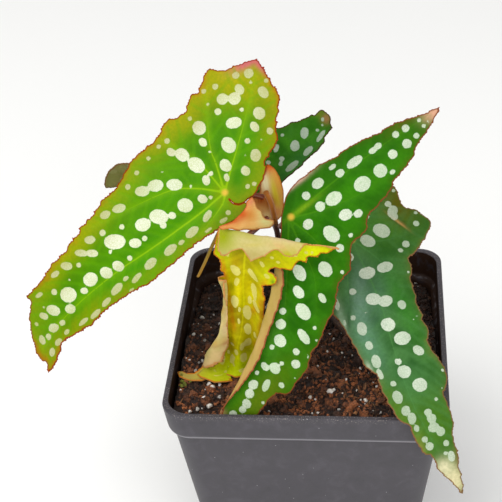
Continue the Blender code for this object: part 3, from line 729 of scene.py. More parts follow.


# %% [markdown]
# ## The big leaf on the left
#
# The largest leaf leans towards the viewer and shows its whole upper face: lime green in the middle, olive
# near the margin, with about a hundred silver spots. Their places were read from a view of the photo
# flattened onto the blade, because a random scatter would never give this plant's own pattern. The
# spots lie in rows between the veins, round near the stalk and long near the tip.

# %% Leaf upper left
LEAF_UPPER_LEFT = Blade(
    name="blade_upper_left", node="leaf_upper_left",
    place=(-27, -8, 155), turn=(-157, -27, 39),
    bend=((0, 0), (60, 14), (100, 34)), halves=((4, 20), (4, 25)), tooth=0.9,
    outline=((-2.9, 0), (-4.9, -0.4), (-6.4, -1.8), (-6.9, -3.8), (-6.6, -5.2), (-6.8, -7.4), (-6.1, -9.2),
             (-4.4, -12.2), (-2.9, -14.9), (-0.8, -16.4), (1.3, -17.8), (2.7, -21.5), (4.5, -25),
             (8.5, -27), (12, -30), (17, -34), (24, -34.5), (30.5, -35), (33, -34), (35.5, -26),
             (36, -23), (40, -19), (37.5, -15), (35, -12), (35.5, -8.5), (32, -5), (31.5, -2), (33, 3.5),
             (31, 6.5), (29.5, 10.5), (28.8, 20), (25.3, 27.5), (23.8, 31), (23.6, 37), (22.3, 40),
             (21, 44.5), (20.6, 49), (19, 51.5), (18.8, 55.5), (17.3, 58), (16.6, 66), (15.3, 70.5),
             (14.4, 74), (14, 81.5), (11.3, 81.5), (8, 85.5), (1.5, 90), (-4, 92), (-7, 91.7), (-9.5, 90),
             (-12.5, 92), (-12, 87.5), (-9.5, 82), (-7.5, 79), (-8.5, 73), (-9.5, 65), (-8.5, 57),
             (-9.5, 44), (-10.5, 39), (-10, 29), (-9, 17), (-9.5, 8.5), (-10.3, 0.5), (-9.6, -3),
             (-8, -4.6), (-6.96, -3.79), (-6.45, -1.76), (-4.93, -0.34), (-2.92, 0.05)),
    veins=(((0, 0), (-1, 12), (-1, 30), (0, 50), (-1, 72), (-4, 88)),
           ((0, 0), (3, 3), (7, 7.5), (11.5, 15), (15, 30), (18, 45)),
           ((0, 0), (15, 2), (28, 8)), ((0, 0), (10, -3), (17, -5), (34, -14)),
           ((0, 0), (4.5, -5), (12, -14), (21, -24), (28, -31)), ((0, 0), (-3, 3), (-7, 14))),
    spots=(
        (21.2, -30.1, 1.6, 2.35, 90), (24, -33.2, 0.8), (29.8, -29.7, 1.7), (15.9, -24.9, 2, 2.3, 90),
        (8.6, -24.5, 1.1, 1.3, 90), (12.9, -21, 1.4, 1.9, 90), (27, -24, 1.5, 2, 90), (25.3, -20.8, 2.2),
        (20.5, -20.7, 0.8), (32, -25.7, 1.3), (7.8, -20.5, 0.45), (4.5, -15.8, 1.8, 2.2, 120),
        (10.2, -16.3, 1), (18.3, -15.9, 2, 2.8, 25), (27.7, -17.3, 2), (32.9, -17.7, 1.1),
        (24.9, -13.6, 1.2), (34, -13.5, 0.9), (12.9, -10.2, 2.4, 3, 90), (2.1, -10, 1.5, 1.8, 90),
        (-3.5, -10, 0.8), (-2.9, -7.6, 0.85), (7.6, -5.4, 1.9, 2.3, 90), (3.9, -3.4, 0.9, 1.4, 110),
        (23.9, -5.1, 2.3, 2.6, 90), (18.9, -3.4, 1.3, 1.7, 90), (14.7, -3.6, 0.5), (28.7, -4.3, 0.8),
        (6.6, -12.9, 0.4), (26.8, -28.6, 0.6), (29.2, -12.2, 0.6),
        (8.2, 0.3, 0.85), (7.2, 2.9, 1.3, 1.8, 105), (13.6, 2.8, 2.4, 3.3, 70), (19.5, 4.9, 2.1, 2.7, 75),
        (22.6, 7.6, 1.35, 1.7, 75), (26.7, 6.6, 1), (26.8, 10, 0.8), (-6.6, 2.8, 0.9),
        (-7.9, 5.6, 0.75, 1.6, 0), (-3.3, 9.4, 1.2, 2.3, -25), (2.6, 7.5, 1.4, 1.8, 60), (1.4, 4.9, 0.7),
        (8.5, 8.5, 0.6), (4.3, 13.7, 2.4, 2.8, 50), (12.4, 12.8, 2, 2.8, 40), (-4.8, 16.8, 1.5, 2.7, -5),
        (-7.6, 11.8, 0.5, 1.6, 0), (16.1, 18.4, 2.1, 2.8, 30), (4.1, 19.4, 1.2, 1.4, 50),
        (-5.6, 21.8, 0.8, 1.2, 0), (6.5, 23.5, 2.5, 3.4, 45), (3.2, 23.8, 1.2), (17.3, 23.4, 1.8, 2.6, 35),
        (23.9, 21.5, 0.9), (-5.4, 26.4, 1.5, 2.6, -5), (21.6, 26.8, 1), (25.6, 15.3, 0.8),
        (18.7, 13.9, 0.45),
        (7.6, 29.7, 2.3, 2.8, 30), (3.3, 31.8, 0.95), (-5.1, 35, 1.6, 2.6, -5), (4, 35.5, 1.6, 2.3, 35),
        (11.5, 36.4, 0.95), (17.4, 33.6, 1.5, 2.5, 20), (18.6, 39, 1.4, 2, 15), (8.8, 41.4, 2.6, 4, 35),
        (1, 40.2, 0.95), (14, 43.4, 1.15), (-6.2, 41.9, 1, 2.4, -10), (1.2, 45.3, 1.8, 2.2, 60),
        (-4, 45.4, 0.8, 1.2, 0), (6.8, 44.7, 0.7), (2, 50.3, 2, 2.4, 50), (-5, 50.2, 1.4, 2.7, -10),
        (14.8, 48.6, 1.4, 2.1, 30), (10.5, 50.6, 1.3, 2.3, 40), (13, 54, 1.2, 2.6, 40),
        (3.6, 56.6, 2.4, 2.8, 20), (-6.5, 56, 1, 2.2, -10), (10.2, 57.2, 0.9), (1.8, 60.9, 1.1, 1.5, 35),
        (12.7, 61.3, 1.4, 2.4, 40), (-7.4, 61.8, 0.95, 2.5, -5), (8.3, 63.3, 0.5), (4.3, 66.9, 2.7, 3.3, 35),
        (13.1, 66.9, 1, 1.9, 10), (-6.8, 67.4, 0.8, 2.3, 0), (-0.1, 69.3, 1.7, 2.2, 40), (8.4, 71, 1.15),
        (3.5, 75.4, 1.9, 2.9, 45), (-2.1, 75.1, 1, 1.45, 20), (-5.8, 75.4, 0.8, 1.3, 0),
        (11.1, 76.8, 0.8, 1.7, 10), (-1.4, 79.4, 1.6, 2.3, 25), (4.3, 80.2, 1.2, 2, 50),
        (-6.6, 80.6, 1.1, 1.8, 0), (-2.6, 83.3, 1.2), (-1.8, 86.6, 1.4, 1.8, 90), (-7.8, 85.4, 1.2, 1.7, -30),
        (3.9, 84.9, 0.8), (-8.6, 45.7, 0.5, 1.1, 0), (6.6, 78, 0.5),
    ),
    washes=(
        (30, -24, 9, 15, 60, "#A69E02", 0.8), (33, 0, 8, 18, 0, "#9A9A02", 0.7),
        (22, 26, 8, 18, -8, "#76960A", 0.6), (19, 56, 8, 22, -8, "#8C9A04", 0.7),
        (8, 84, 14, 12, 0, "#648A04", 0.85), (-9.6, 40, 3, 46, 0, "#5A8E04", 0.85),
        (8, -14, 8, 12, 60, "#458600", 0.6), (-3, 26, 5, 40, 0, "#3E8A00", 0.75),
        (12, 18, 8, 18, 20, "#468A00", 0.5), (33.4, -31, 2.2, 6, 8, "#C4566A", 0.95),
        (30, -34.6, 4, 1.4, 0, "#C65C6C", 0.9),
    ),
)
LIME = Palette(light="#4A8600", deep="#3A7400", side="#569200", vein="#88B208", spot="#DADCC6",
               spot_line="#A4B66C", margin="#8A2408", rim="#8C8602", flush="#A84C0A")
UNDERSIDE = Palette(light="#9A9256", deep="#86783E", side="#A07848", vein="#A8583A", spot="#B8B48A",
                    spot_line="#A09A60", margin="#8A4028", rim="#8E6A3C", flush="#8A4028")
make_blade(LEAF_UPPER_LEFT, leaf_skin("lime_leaf_skin", LIME, rim=0.85, veins=0.9),
           leaf_skin("olive_red_leaf_underside", UNDERSIDE, 0.55, 0.35, 0.2), "leaf_lime")

# %% [markdown]
# ## The green leaf in the middle
#
# Two lobes of this leaf show, one that points to the right and one that hangs down. Its far margin has
# rolled over and shows a strip of the tan underside. The roll is geometry: what lies beyond a long arc
# turns over the upper face round a radius of under a millimetre.

# %% Leaf centre
LEAF_CENTRE = Blade(
    name="blade_centre", node="leaf_centre",
    place=(-4.6, -10, 146.4), turn=(18, 33, -50),
    bend=((0, 0), (65, 8)), halves=((3, 20), (3, 12)),
    creases=(Crease((-69, -97), 115.5, 0.8, 160),), tooth=0.6,
    outline=((0, 62.5), (-1.5, 56), (-3, 52), (-5, 45.5), (-5, 41.5), (-6.5, 35.5), (-7.5, 28),
             (-7.3, 24.5), (-8.5, 18.5), (-8.5, 9), (-7.8, 5.5), (-6.5, 2.5), (-2, -2.8), (1.8, -5.7),
             (5, -9), (9.2, -20), (13, -24.4), (21, -32.7), (25.7, -40.2), (32.2, -49.2), (40.5, -60.5),
             (44, -58), (48, -50.5), (46, -43.5), (46, -40.5), (48.5, -36.5), (47, -33), (45.5, -27),
             (41.5, -21.5), (40.5, -18), (36.5, -11.5), (34.5, -7), (28, 0), (26.5, 6), (20, 11), (19, 18),
             (15.3, 21.5), (14.8, 25), (13, 32.5), (11, 35.5), (10, 40), (8.5, 45), (6, 48.5), (4, 54.5),
             (2, 59)),
    veins=(((0, -1), (-1, 20), (-1, 40), (0, 58)), ((0, -1), (14, -12), (29, -25), (42, -40)),
           ((0, -1), (11, 2), (26, 3)), ((0, -1), (9, -3), (22, -6), (36, -16)),
           ((0, -1), (5, 12), (8, 26), (8, 40))),
    spots=(
        (42.9, -57.1, 1.4), (45.3, -55.3, 0.8), (43.5, -53.3, 1.3), (42.7, -50.9, 1.4, 1.7, 90),
        (40.5, -48, 1.6), (38.7, -45.1, 1.6, 1.8, 0), (45.7, -46.1, 0.6), (41.5, -41.5, 1.2, 2.3, 150),
        (36.2, -41.5, 0.8), (36, -38, 1.1, 1.7, 90), (38.5, -35.5, 1.8, 2.1, 90), (44.5, -37.1, 0.9, 1.1, 90),
        (38.5, -32.5, 0.8), (32, -31.9, 0.9), (45.3, -31.7, 0.4), (31.9, -28.3, 2, 2.3, 90),
        (41.5, -28.7, 1.5, 1.6, 90), (38.2, -26, 1.1, 1.3, 90), (27.5, -24.7, 1.8), (24.3, -21.5, 1.2),
        (35.5, -20.8, 1.5, 3.1, 92), (41.9, -23.7, 0.3, 0.8, 120), (39.1, -18, 0.5), (35.3, -15.9, 0.7),
        (28.5, -15.8, 2.2, 3.2, 88), (22.2, -13.1, 1.7, 2.4, 90), (17.1, -8.9, 2, 3, 95),
        (28.6, -7.7, 1.1, 1.9, 92), (21.3, -1, 2.2, 2.8, 90), (25.5, 3.1, 0.7), (7.9, -2.9, 0.9),
        (5.5, 3.3, 1.7, 1.9, -20), (12.9, 7.8, 2.4, 3.2, 80), (18.5, 7.3, 1.4), (-2.7, 8.5, 1.45),
        (3.1, 10.2, 1.7), (-3.7, 14.2, 1.7, 2.2, 0), (3.7, 15.5, 2.2, 3, 5), (10.5, 15.5, 1.9, 2.3, 15),
        (12.7, 19.2, 1.3, 1.6, 0), (17.1, 12.8, 0.7, 0.9, 0), (-2, 22.3, 1.3, 1.6, 0),
        (-5.2, 21.5, 0.8, 1.4, 0), (-2.1, 28.5, 1.5, 3.1, 0), (5.5, 26.2, 2.5, 3, 0), (5.5, 33.7, 2.3),
        (8.3, 36.7, 0.8, 1, 0), (-1.5, 35.7, 1, 1.5, 0), (-1.7, 38, 1.1, 1.3, 0), (3.5, 40.3, 1.6),
        (-1.3, 45, 1.2), (-1, 48.9, 1.3), (3.5, 46.2, 1.6), (3.2, 50.3, 1), (-0.5, 54.2, 0.75),
        (2, 54.2, 0.7), (1.7, 56.2, 0.45), (11.5, -9, 1.1, 1.5, 120),
    ),
    washes=(
        (44, -46, 6, 18, -12, "#566A06", 0.85), (40.6, -60.2, 2.0, 2.0, 0, "#A08454", 0.8),
        (-6, 20, 4, 34, 0, "#205604", 0.6), (0.2, 59.5, 3.2, 4.6, 0, "#D09A80", 1.0),
        (-3, 50, 2, 8, 0, "#5C4A10", 0.55), (0, 5, 1.0, 7, 0, "#8AA812", 0.7),
        (5, 26, 3, 22, 5, "#3A8004", 0.5), (4, 50, 3, 7, 0, "#3E5E06", 0.4),
        (30, -30, 4, 10, 135, "#4E8A24", 0.4), (-8.2, 8, 1, 8, 0, "#D0A494", 0.85),
    ),
)
GREEN = Palette(light="#2C7002", deep="#1D5600", side="#3A7C0C", vein="#549410", spot="#D6DCCA",
                spot_line="#96B684", margin="#7A3A20", rim="#2C5C04", flush="#4A4A08")
TAN_UNDERSIDE = Palette(light="#B4A052", deep="#9A8A3C", side="#B09458", vein="#A0784A", spot="#C8BE86",
                        spot_line="#B0A468", margin="#8E4A2E", rim="#B48E58", flush="#A0603C")
make_blade(LEAF_CENTRE, leaf_skin("green_leaf_skin", GREEN, rim=0.35, veins=0.35),
           leaf_skin("tan_leaf_underside", TAN_UNDERSIDE, 0.55, 0.35, 0.0), "leaf_green")

# %% [markdown]
# ## The dark leaf on the right
#
# This blade falls over the pot's rim and ends in a dry, cream tip. Its colour turns from blue-green near
# the stalk to fresh green lower down, which soft washes give. Three blue-grey washes on its upper part are
# a painted sheen, a thin dark wash is painted shade along a fold, and a dark wash under a tan slit is a
# painted shadow. The margin is pale and dry in places.

# %% Leaf right
LEAF_RIGHT = Blade(
    name="blade_right", node="leaf_right",
    place=(15.7, 6, 125.4), turn=(-66, -29, -5),
    bend=((0, 0), (38, -3), (60, -3), (85, 34), (110, 46)), halves=((6, 25), (0, 20)), tooth=0.6,
    outline=((0, -3), (-6, -9), (-14, -14), (-22, -15.5), (-22, -8), (-23, -5.5), (-26, -4),
             (-28.5, 0), (-29.5, 2.5), (-27.5, 5.5), (-20.5, 11.5), (-16.5, 13.5), (-16.3, 17.5),
             (-14.2, 21.5), (-13.6, 28), (-12.7, 31), (-13.2, 35.5), (-12.4, 37), (-13, 41.6),
             (-11.2, 44.8), (-11.2, 48.5), (-12.4, 52.9), (-12.8, 57.9), (-11.7, 61.6), (-9, 64.8),
             (-9.2, 71), (-9, 74.8), (-7.6, 78.5), (-7.5, 82.3), (-7.8, 86), (-7, 89.1), (-7.2, 93.5),
             (-6.8, 99.2), (-5.9, 99.4), (-4, 95.4), (-1.8, 92), (0, 89.1), (1, 83.5), (3.2, 82.3),
             (4.6, 79.1), (5.6, 74.8), (5.6, 71.6), (8.6, 68.5), (9.8, 62.9), (10.4, 56.6), (10.1, 51),
             (12.5, 47.5), (13.4, 40), (14.8, 30), (16.5, 24), (17, 12), (14, 1), (8, -5), (3, -5)),
    veins=(((0, 0), (-1, 25), (1, 45), (2, 65), (-1, 82)), ((0, 0), (-11, 4), (-25, 4)),
           ((0, 0), (-7, 12), (-11, 30)), ((0, 0), (6, 12), (11, 30), (10, 50)),
           ((0, 0), (-8, -6), (-19, -11))),
    spots=(
        (-21.1, -13.6, 0.7), (-17.3, -9.2, 1.2), (-17.6, -3.6, 1.35), (-24.1, 1.4, 1.15),
        (-25.5, -2.7, 0.7), (-11.3, 0.1, 2.6, 3.2, -40), (-5.2, 2.3, 2.2, 2.9, -40), (-17.6, 7.9, 1.4),
        (-14.9, 9.6, 0.8, 1, -50), (-7.3, 13.9, 2, 2.9, 92), (-0.6, 13.9, 2.3, 3, 90), (6.8, 19.2, 1.3),
        (0.9, 24.1, 2.3, 2.7, 100), (-2.9, 26.2, 2.1, 2.5, 90), (-7.7, 29.5, 1.4, 1.8, 0),
        (-0.5, 34.8, 2.5), (8.7, 33.5, 1.7, 2.6, 10), (10.1, 28.5, 0.9, 1.1, 0), (13.8, 22, 0.9, 2.4, 10),
        (13.6, 29.6, 0.5, 1.3, 15), (5.2, 28.2, 0.4), (8.6, 40.2, 1.3, 1.7, 0),
        (-3.3, 41.3, 2.5, 2.9, 90), (-6.8, 47.4, 1.6, 2.1, -30), (1.2, 48.9, 1.2),
        (8.4, 46.6, 1.6, 2.5, 8), (0.6, 53, 2.35), (8.9, 51.4, 1, 2, 0), (5.8, 56, 1.05),
        (-2.6, 59.3, 2.5), (6.2, 61, 1.7, 2.4, 5), (-6, 65.7, 0.65), (5.2, 66.3, 1.5, 1.8, 30),
        (4.1, 69.4, 1.4, 2, 20), (-1.8, 69.1, 1.3), (-2.3, 71.3, 1.6), (-2.1, 74.4, 1.6, 2, 90),
        (-3.9, 76.3, 1.5), (3.7, 73, 0.9, 1.2, 0), (2.1, 77.3, 1.1), (1.1, 80, 1.4), (-4.6, 80.5, 1.05),
        (-3.5, 83.7, 0.65), (-5.3, 85.4, 1.2, 2, 0), (-12, 51.2, 0.35), (-11.4, 61, 0.4),
        (-9.2, 63, 0.35), (-11.1, 35.2, 0.4), (-9.5, 36.1, 0.3), (-14.4, 18.5, 0.5), (-12.8, 33.4, 0.3),
        (-10, 54, 0.25), (-11.8, 57, 0.4, 0.7, 0),
    ),
    hidden=((4, 16, -1, 14), (-16, -4, -14, -6)),
    washes=(
        (-12, 0, 16, 10, 0, "#467C20", 0.65), (-21, -8, 7, 9, 0, "#565008", 0.95),
        # painted shadow: the dark wash at (-18.3, -1.3) under the slit's tan edge. Painted sheen: the
        # blue-grey washes at (6, 24), (8, 40) and (-1, 24). Painted shade: the thin dark wash at (12.4, 30)
        # along a fold.
        (-18.3, -1.3, 1.2, 5, -30, "#24340A", 0.85), (-18.3, -1.3, 0.45, 4.4, -30, "#D09C5C", 1.0),
        (-8, 30, 4, 20, 0, "#2F7A18", 0.5), (6, 24, 4, 16, 20, "#7A9A88", 0.65),
        (8, 40, 4, 14, 0, "#5E8870", 0.55), (12.4, 30, 0.7, 7, 24, "#1E3A1C", 0.8),
        (-1, 24, 3.5, 10, 20, "#5A8468", 0.45), (2, 60, 10, 10, 0, "#3A703A", 0.4),
        (-2, 74, 10, 12, 0, "#426C10", 0.9), (7, 66, 4, 12, -12, "#56781C", 0.7),
        (-4.4, 94, 5, 6, 0, "#D8CDA0", 0.98), (-2, 88.5, 3.2, 3.4, 0, "#D6CFA6", 0.95),
        (-7, 87, 1.2, 4, 0, "#6E5A2C", 0.6), (4, 80, 2, 5, 0, "#8C8A38", 0.5),
        (14.6, 30, 1.6, 10, 10, "#9DB79A", 0.7), (11.5, 48, 1, 2.5, 0, "#B4C4A8", 0.8),
        (16, 16, 1, 3, 0, "#B4C4A8", 0.7),
    ),
)
DARK = Palette(light="#44723A", deep="#265020", side="#4C7E46", vein="#4E8444", spot="#D2DAC8",
               spot_line="#92AC8A", margin="#7A5A38", rim="#3E6620", flush="#6A6828")
make_blade(LEAF_RIGHT, leaf_skin("dark_leaf_skin", DARK, 0.38, rim=0.4, veins=0.5),
           leaf_skin("olive_leaf_underside", UNDERSIDE, 0.55, 0.35, 0.0), "leaf_dark")

# %% [markdown]
# ## The leaf behind
#
# One more dark leaf stands behind the big one. Its upper lobe shows above the big leaf's margin, and its
# tip, which has twisted over, below it. What the photo hides has seeded spots of the same kind.

# %% Leaf back
LEAF_BACK = Blade(
    name="blade_back", node="leaf_back",
    place=(-17, 20, 138.4), turn=(180, 14, 0),
    bend=((0, 0), (30, 4), (61, 50)), twist=((-30, 38), (8, 38), (50, -66)), halves=((0, 10), (0, 10)),
    outline=((-2, -0.5), (-2, -5), (4, -7), (8.3, -10.2), (11, -12.3), (13.7, -13.8), (16, -15.4),
             (19.1, -17.7), (21.4, -18.8), (22.9, -19.6), (24.5, -19.2), (27.5, -20.8), (28.9, -21.5),
             (29.8, -20.6), (32.5, -20.2), (34.1, -18.8), (35.2, -16.7), (34.4, -15.2), (32.2, -14),
             (32.3, -13.1), (30.4, -10.8), (28.5, -8.1), (27.5, -5.8), (25.8, -4.2), (24.3, -1.7),
             (25, 8), (22, 20), (17, 33), (11, 43), (5, 52), (0, 60), (-7, 54), (-12, 44), (-12, 32),
             (-10, 20), (-8, 12), (-5, 4), (-4.5, 0.5)),
    veins=(((0, 0), (1, 20), (1, 40), (0, 55)), ((0, 0), (12, 6), (20, 18)), ((0, 0), (14, -5), (28, -17))),
    spots=(
        (10.6, -9.2, 1.1, 3.2, -53), (17.8, -14, 1.1, 2.5, -59), (18.7, -8.9, 1.7, 2.2, 90),
        (24.5, -11.5, 1.5, 2.3, 90), (24.7, -17.7, 0.8, 2.9, -68), (26.7, -16.1, 0.7), (10.5, -4.9, 0.85),
        (12.6, -5, 1), (21.8, -3.6, 0.7), (16.2, -2.3, 0.9, 1.8, 100), (29.1, -17.5, 0.5),
        (31.3, -17.3, 0.6, 0.9, 90), (10, -0.4, 0.9),
    ),
    hidden=((-8, 22, 6, 56),),
    washes=(
        (32, -18.5, 2.4, 2, 0, "#A86A4C", 0.75), (33.6, -15.5, 1.6, 1.6, 0, "#6E6E1C", 0.6),
        (10, -10, 4, 14, -55, "#3F7A52", 0.25), (24, -4, 3, 6, 0, "#245A1C", 0.5),
    ),
)
FOREST = Palette(light="#438618", deep="#28620C", side="#42802A", vein="#3F7A28", spot="#B4C2B0",
                 spot_line="#8AA486", margin="#4A2418", rim="#2E5A12", flush="#4A4A14")
OLIVE_UNDERSIDE = Palette(light="#8C8C50", deep="#74763A", side="#88804A", vein="#8E7846", spot="#A8A87C",
                          spot_line="#909058", margin="#6E4A28", rim="#7C8042", flush="#7A6A38")
make_blade(LEAF_BACK, leaf_skin("forest_leaf_skin", FOREST, rim=0.3, veins=0.4),
           leaf_skin("olive_brown_leaf_underside", OLIVE_UNDERSIDE, 0.55, 0.35, 0.0), "leaf_dark")

# %% [markdown]
# ## The young leaf
#
# The youngest leaf has not opened fully. It is yellow, folded like a fan along its length, and both its
# upper and its left edge still roll over and show the cream underside. The pleats are a wave that grows
# deeper away from the upper edge, so they are a formula and not drawn lines.

# %% Leaf young


def young_leaf_pleats(across, along):
    """Folds that run down the young leaf, deeper away from its upper edge, and a lobe that lies forward."""
    depth = np.clip((across - 3) / 18, 0, 1)
    folds = depth * (1.3 * np.cos(2 * pi * (along + 3) / 8.5 + across / 30) - 1.0)
    lobe = np.clip((along - 4) / 5, 0, 1) * np.clip((across - 8) / 5, 0, 1)
    return folds * (1 - lobe) + 0.8 * lobe


LEAF_YOUNG = Blade(
    name="blade_young", node="leaf_young",
    place=(-18.7, -22.5, 145.6), turn=(-8, 0, -88),
    creases=(Crease((-301.8, 39), 302.2, 0.9, 160), Crease((25.3, -60.6), 51.1, 0.8, 150),
             Crease((154.5, -10), 100, 4, 80)),
    outline=((-1.8, 31.5), (-0.8, 24.5), (-0.6, 21), (-3.6, 19.4), (-6.9, 17), (-7.2, 13.7), (-6, 12),
             (-6, 10.7), (-9.6, 7.4), (-11.9, 4.4), (-10.2, 2), (-9.1, 0.3), (-10.5, -2.1), (-12.9, -4),
             (-12.5, -6.9), (-6, -8.8), (-2.6, -10), (3.8, -11.5), (7.1, -11.8), (9.2, -10), (13.5, -10),
             (16.5, -9.3), (17.2, -13), (18.5, -17), (23, -16.7), (26, -13.7), (29.6, -13), (33, -14),
             (37.4, -16.2), (43.7, -18.9), (49.5, -23), (52.3, -23), (54, -16), (57.5, -19.8), (60, -23.5),
             (61, -26.3), (62.6, -24), (63.3, -20.4), (62.3, -14.7), (63.4, -11), (59.6, -6.6), (57.9, -3.7),
             (54, -1.9), (48.3, 1.1), (41.4, 3.6), (37.1, 4.7), (30.3, 4.7), (23.9, 5.3), (18.3, 4.8),
             (17.9, 6.9), (16.7, 9.2), (15, 9.9), (12.5, 9), (12, 6.8), (10.4, 9.2), (10.2, 15.2),
             (6.8, 17.1), (7.1, 20), (4.5, 20.7), (4.1, 24), (2.7, 25.1), (2.1, 27.8), (-0.4, 30.5)),
    veins=(((0, 0), (14, -2), (34, -3), (56, -8)), ((0, 0), (1, 12), (0, 24))),
    spots=(
        (12.6, -4.6, 1.7, 2.2, 80), (14.6, 1.2, 1.2, 3.2, 60), (5.7, -7.6, 0.9, 2.2, 75),
        (9.3, 4.8, 0.7, 1.3, 60), (6, 8.3, 0.75), (8, 10.4, 0.75), (14.1, 6.3, 0.7, 1.3, 60),
        (17.6, -4.5, 0.9, 2, 110), (22.5, 1.2, 1.1, 3.4, 80), (26.6, -5.7, 1.4, 2.9, 105),
        (27.9, 2, 1.1, 2.4, 65), (26.3, -0.7, 0.6, 1.8, 90), (31.7, -1.6, 1.1, 3.3, 85),
        (38.7, -1.9, 1.1, 2.4, 85), (44.6, -2.2, 1.3, 2, 90), (46.1, -7.6, 0.75),
        (45.9, -3.9, 0.7, 2, 100), (49.1, -6.4, 0.75, 1.3, 90), (51.2, -3.7, 1.1, 2, 90),
        (53.1, -8.1, 0.9, 2.2, 100), (53.6, -11.8, 0.75, 2, 100), (58.8, -11.8, 0.65), (60.9, -9, 0.9),
        (56.4, -4.6, 0.9), (57.5, -14.1, 0.5), (2.9, 20.1, 0.65), (2.7, 22.1, 0.6),
        (4.5, 16.2, 0.7, 1, 0), (34.8, -4.6, 0.6, 1.3, 80), (40.6, 1.4, 0.6, 1.4, 80),
        (47.5, 0.8, 0.6, 1.2, 90), (50.5, -9.6, 0.6, 1, 90), (55, -7.2, 0.6), (52.4, -0.4, 0.6, 1.2, 95),
        (57.2, -9.4, 0.5), (59.6, -13.6, 0.5), (29.6, -4, 0.5, 1.2, 95),
    ),
    # Painted light among these washes: the olive patches at (5, 1.5) and (9, 0) are the leaf's olive with
    # painted shade under the rolled upper edge; the thin olive stripes at (22, -2), (41, -5.4), (50, -9.6),
    # (20, -6.4), (26, -2.6) and (49, -1.6) are painted shade in the pleats; the thin lime stripes at (42,
    # -8.6) and (33, 2.2) are painted highlights on the pleats.
    washes=(
        (6, -8, 8, 4, 0, "#A8BC02", 0.95), (5, 1.5, 3, 6, 0, "#7E7A08", 0.85),
        (9, -4, 3, 3, 0, "#CE8E10", 0.5), (20, -3, 8, 4, 0, "#E0D002", 0.7),
        (14, 8, 5, 5, 0, "#B8CC08", 0.9), (3, 20, 5, 12, 0, "#CCDC04", 0.95),
        (38, 3, 16, 2, 0, "#B88E0C", 0.6), (34, -8, 12, 1.6, 0, "#CC9A12", 0.6),
        (44, -3, 8, 4, 0, "#C0B406", 0.5), (58, -10, 6, 9, 0, "#BCD206", 0.95),
        (61, -23, 5, 7, 0, "#A89450", 0.9), (16, 8.3, 0.9, 0.9, 0, "#4C8A14", 0.9),
        (-6, 4, 3, 8, 0, "#C8BC80", 0.7), (-4, 16, 3, 6, 0, "#C6B278", 0.7),
        (-9, -4, 3, 4, 0, "#B8B45A", 0.6), (30, -14.5, 9, 2, 0, "#D8B494", 0.8),
        (46, -19, 6, 3, 30, "#CCAE78", 0.8), (40, -17.4, 10, 0.6, -16, "#9A6038", 0.8),
        (22, -15.5, 4, 2, 0, "#CFC25A", 0.8), (9, 0, 4, 6, 0, "#8E8606", 0.75),
        (25, -8, 14, 0.8, -4, "#BC740C", 0.75), (30, 3.8, 12, 0.8, 4, "#B0700E", 0.75),
        (22, -2, 10, 0.7, 0, "#948406", 0.7), (34, -0.6, 8, 0.6, -6, "#B89008", 0.6),
        (38, -10, 10, 0.8, -8, "#B07A10", 0.7), (41, -5.4, 9, 0.7, -5, "#908C06", 0.7),
        (48, -14, 7, 0.9, -14, "#C48A14", 0.7), (50, -9.6, 6, 0.6, -12, "#8E8E06", 0.6),
        (14, -9, 6, 0.8, 0, "#C87C0E", 0.7), (17, 5.4, 3, 1.2, 30, "#C8860E", 0.6),
        (36, -12.6, 6, 0.8, -8, "#D2B878", 0.8), (-4, 0, 1.2, 6, 0, "#A8A23C", 0.6),
        (-7, -7, 7, 4.6, 0, "#8A9600", 1.0), (-6.6, 15.4, 3.2, 4.2, 0, "#A8A614", 1.0),
        (-4.4, 12, 1.4, 4, 0, "#CDA06E", 0.6), (-1.6, 8, 1.3, 14, 0, "#D2AE96", 0.8),
        (-6.4, 3.6, 0.8, 4, 20, "#B8A84C", 0.6), (-1.6, 19.4, 1.6, 3, 0, "#B8B048", 0.6),
        (54, -4, 5, 3, 0, "#B0C806", 0.8), (30, 1, 2.4, 1.2, 20, "#C47410", 0.7),
        (37, -7, 2.6, 1.1, -20, "#C67C10", 0.7), (45, 0.6, 2.6, 1, 10, "#BE8210", 0.7),
        (20, -6.4, 3, 1.3, 0, "#8A8A08", 0.7), (26, -2.6, 3, 1, 10, "#868406", 0.6),
        (49, -1.6, 2.4, 1, -10, "#8C9808", 0.7), (42, -8.6, 2.6, 0.9, -10, "#C2CC0A", 0.7),
        (33, 2.2, 2.6, 0.9, 8, "#C8CC0C", 0.6),
    ),
    relief=young_leaf_pleats, tooth=0.7, pillow=1.1,
)
YELLOW = Palette(light="#C2BE02", deep="#8A7A06", side="#DCD010", vein="#D8D60C", spot="#D8D088",
                 spot_line="#CCC65C", margin="#B8661A", rim="#BCB404", flush="#BE960C")
CREAM_UNDERSIDE = Palette(light="#BAB878", deep="#989040", side="#B8B068", vein="#A49C44", spot="#DEDAA0",
                          spot_line="#CCC67A", margin="#C0864A", rim="#C0A474", flush="#C89070")
make_blade(LEAF_YOUNG, leaf_skin("yellow_leaf_skin", YELLOW, 0.45, rim=0.6, veins=0.6),
           leaf_skin("cream_leaf_underside", CREAM_UNDERSIDE, 0.5, 0.5), "leaf_yellow")

# %% [markdown]
# ## Papery sheaths
#
# Each new leaf comes out of a pair of sheaths, called stipules. They stay on as thin, papery scales: orange
# towards the tip, cream below, and straw brown once dry. Fine parallel fibres run from foot to tip, so the
# bump varies across the scale and hardly along it.

# %% Sheath blades
FIBRE_PITCH = 0.55
SHEATH_TOOTH = 0.15


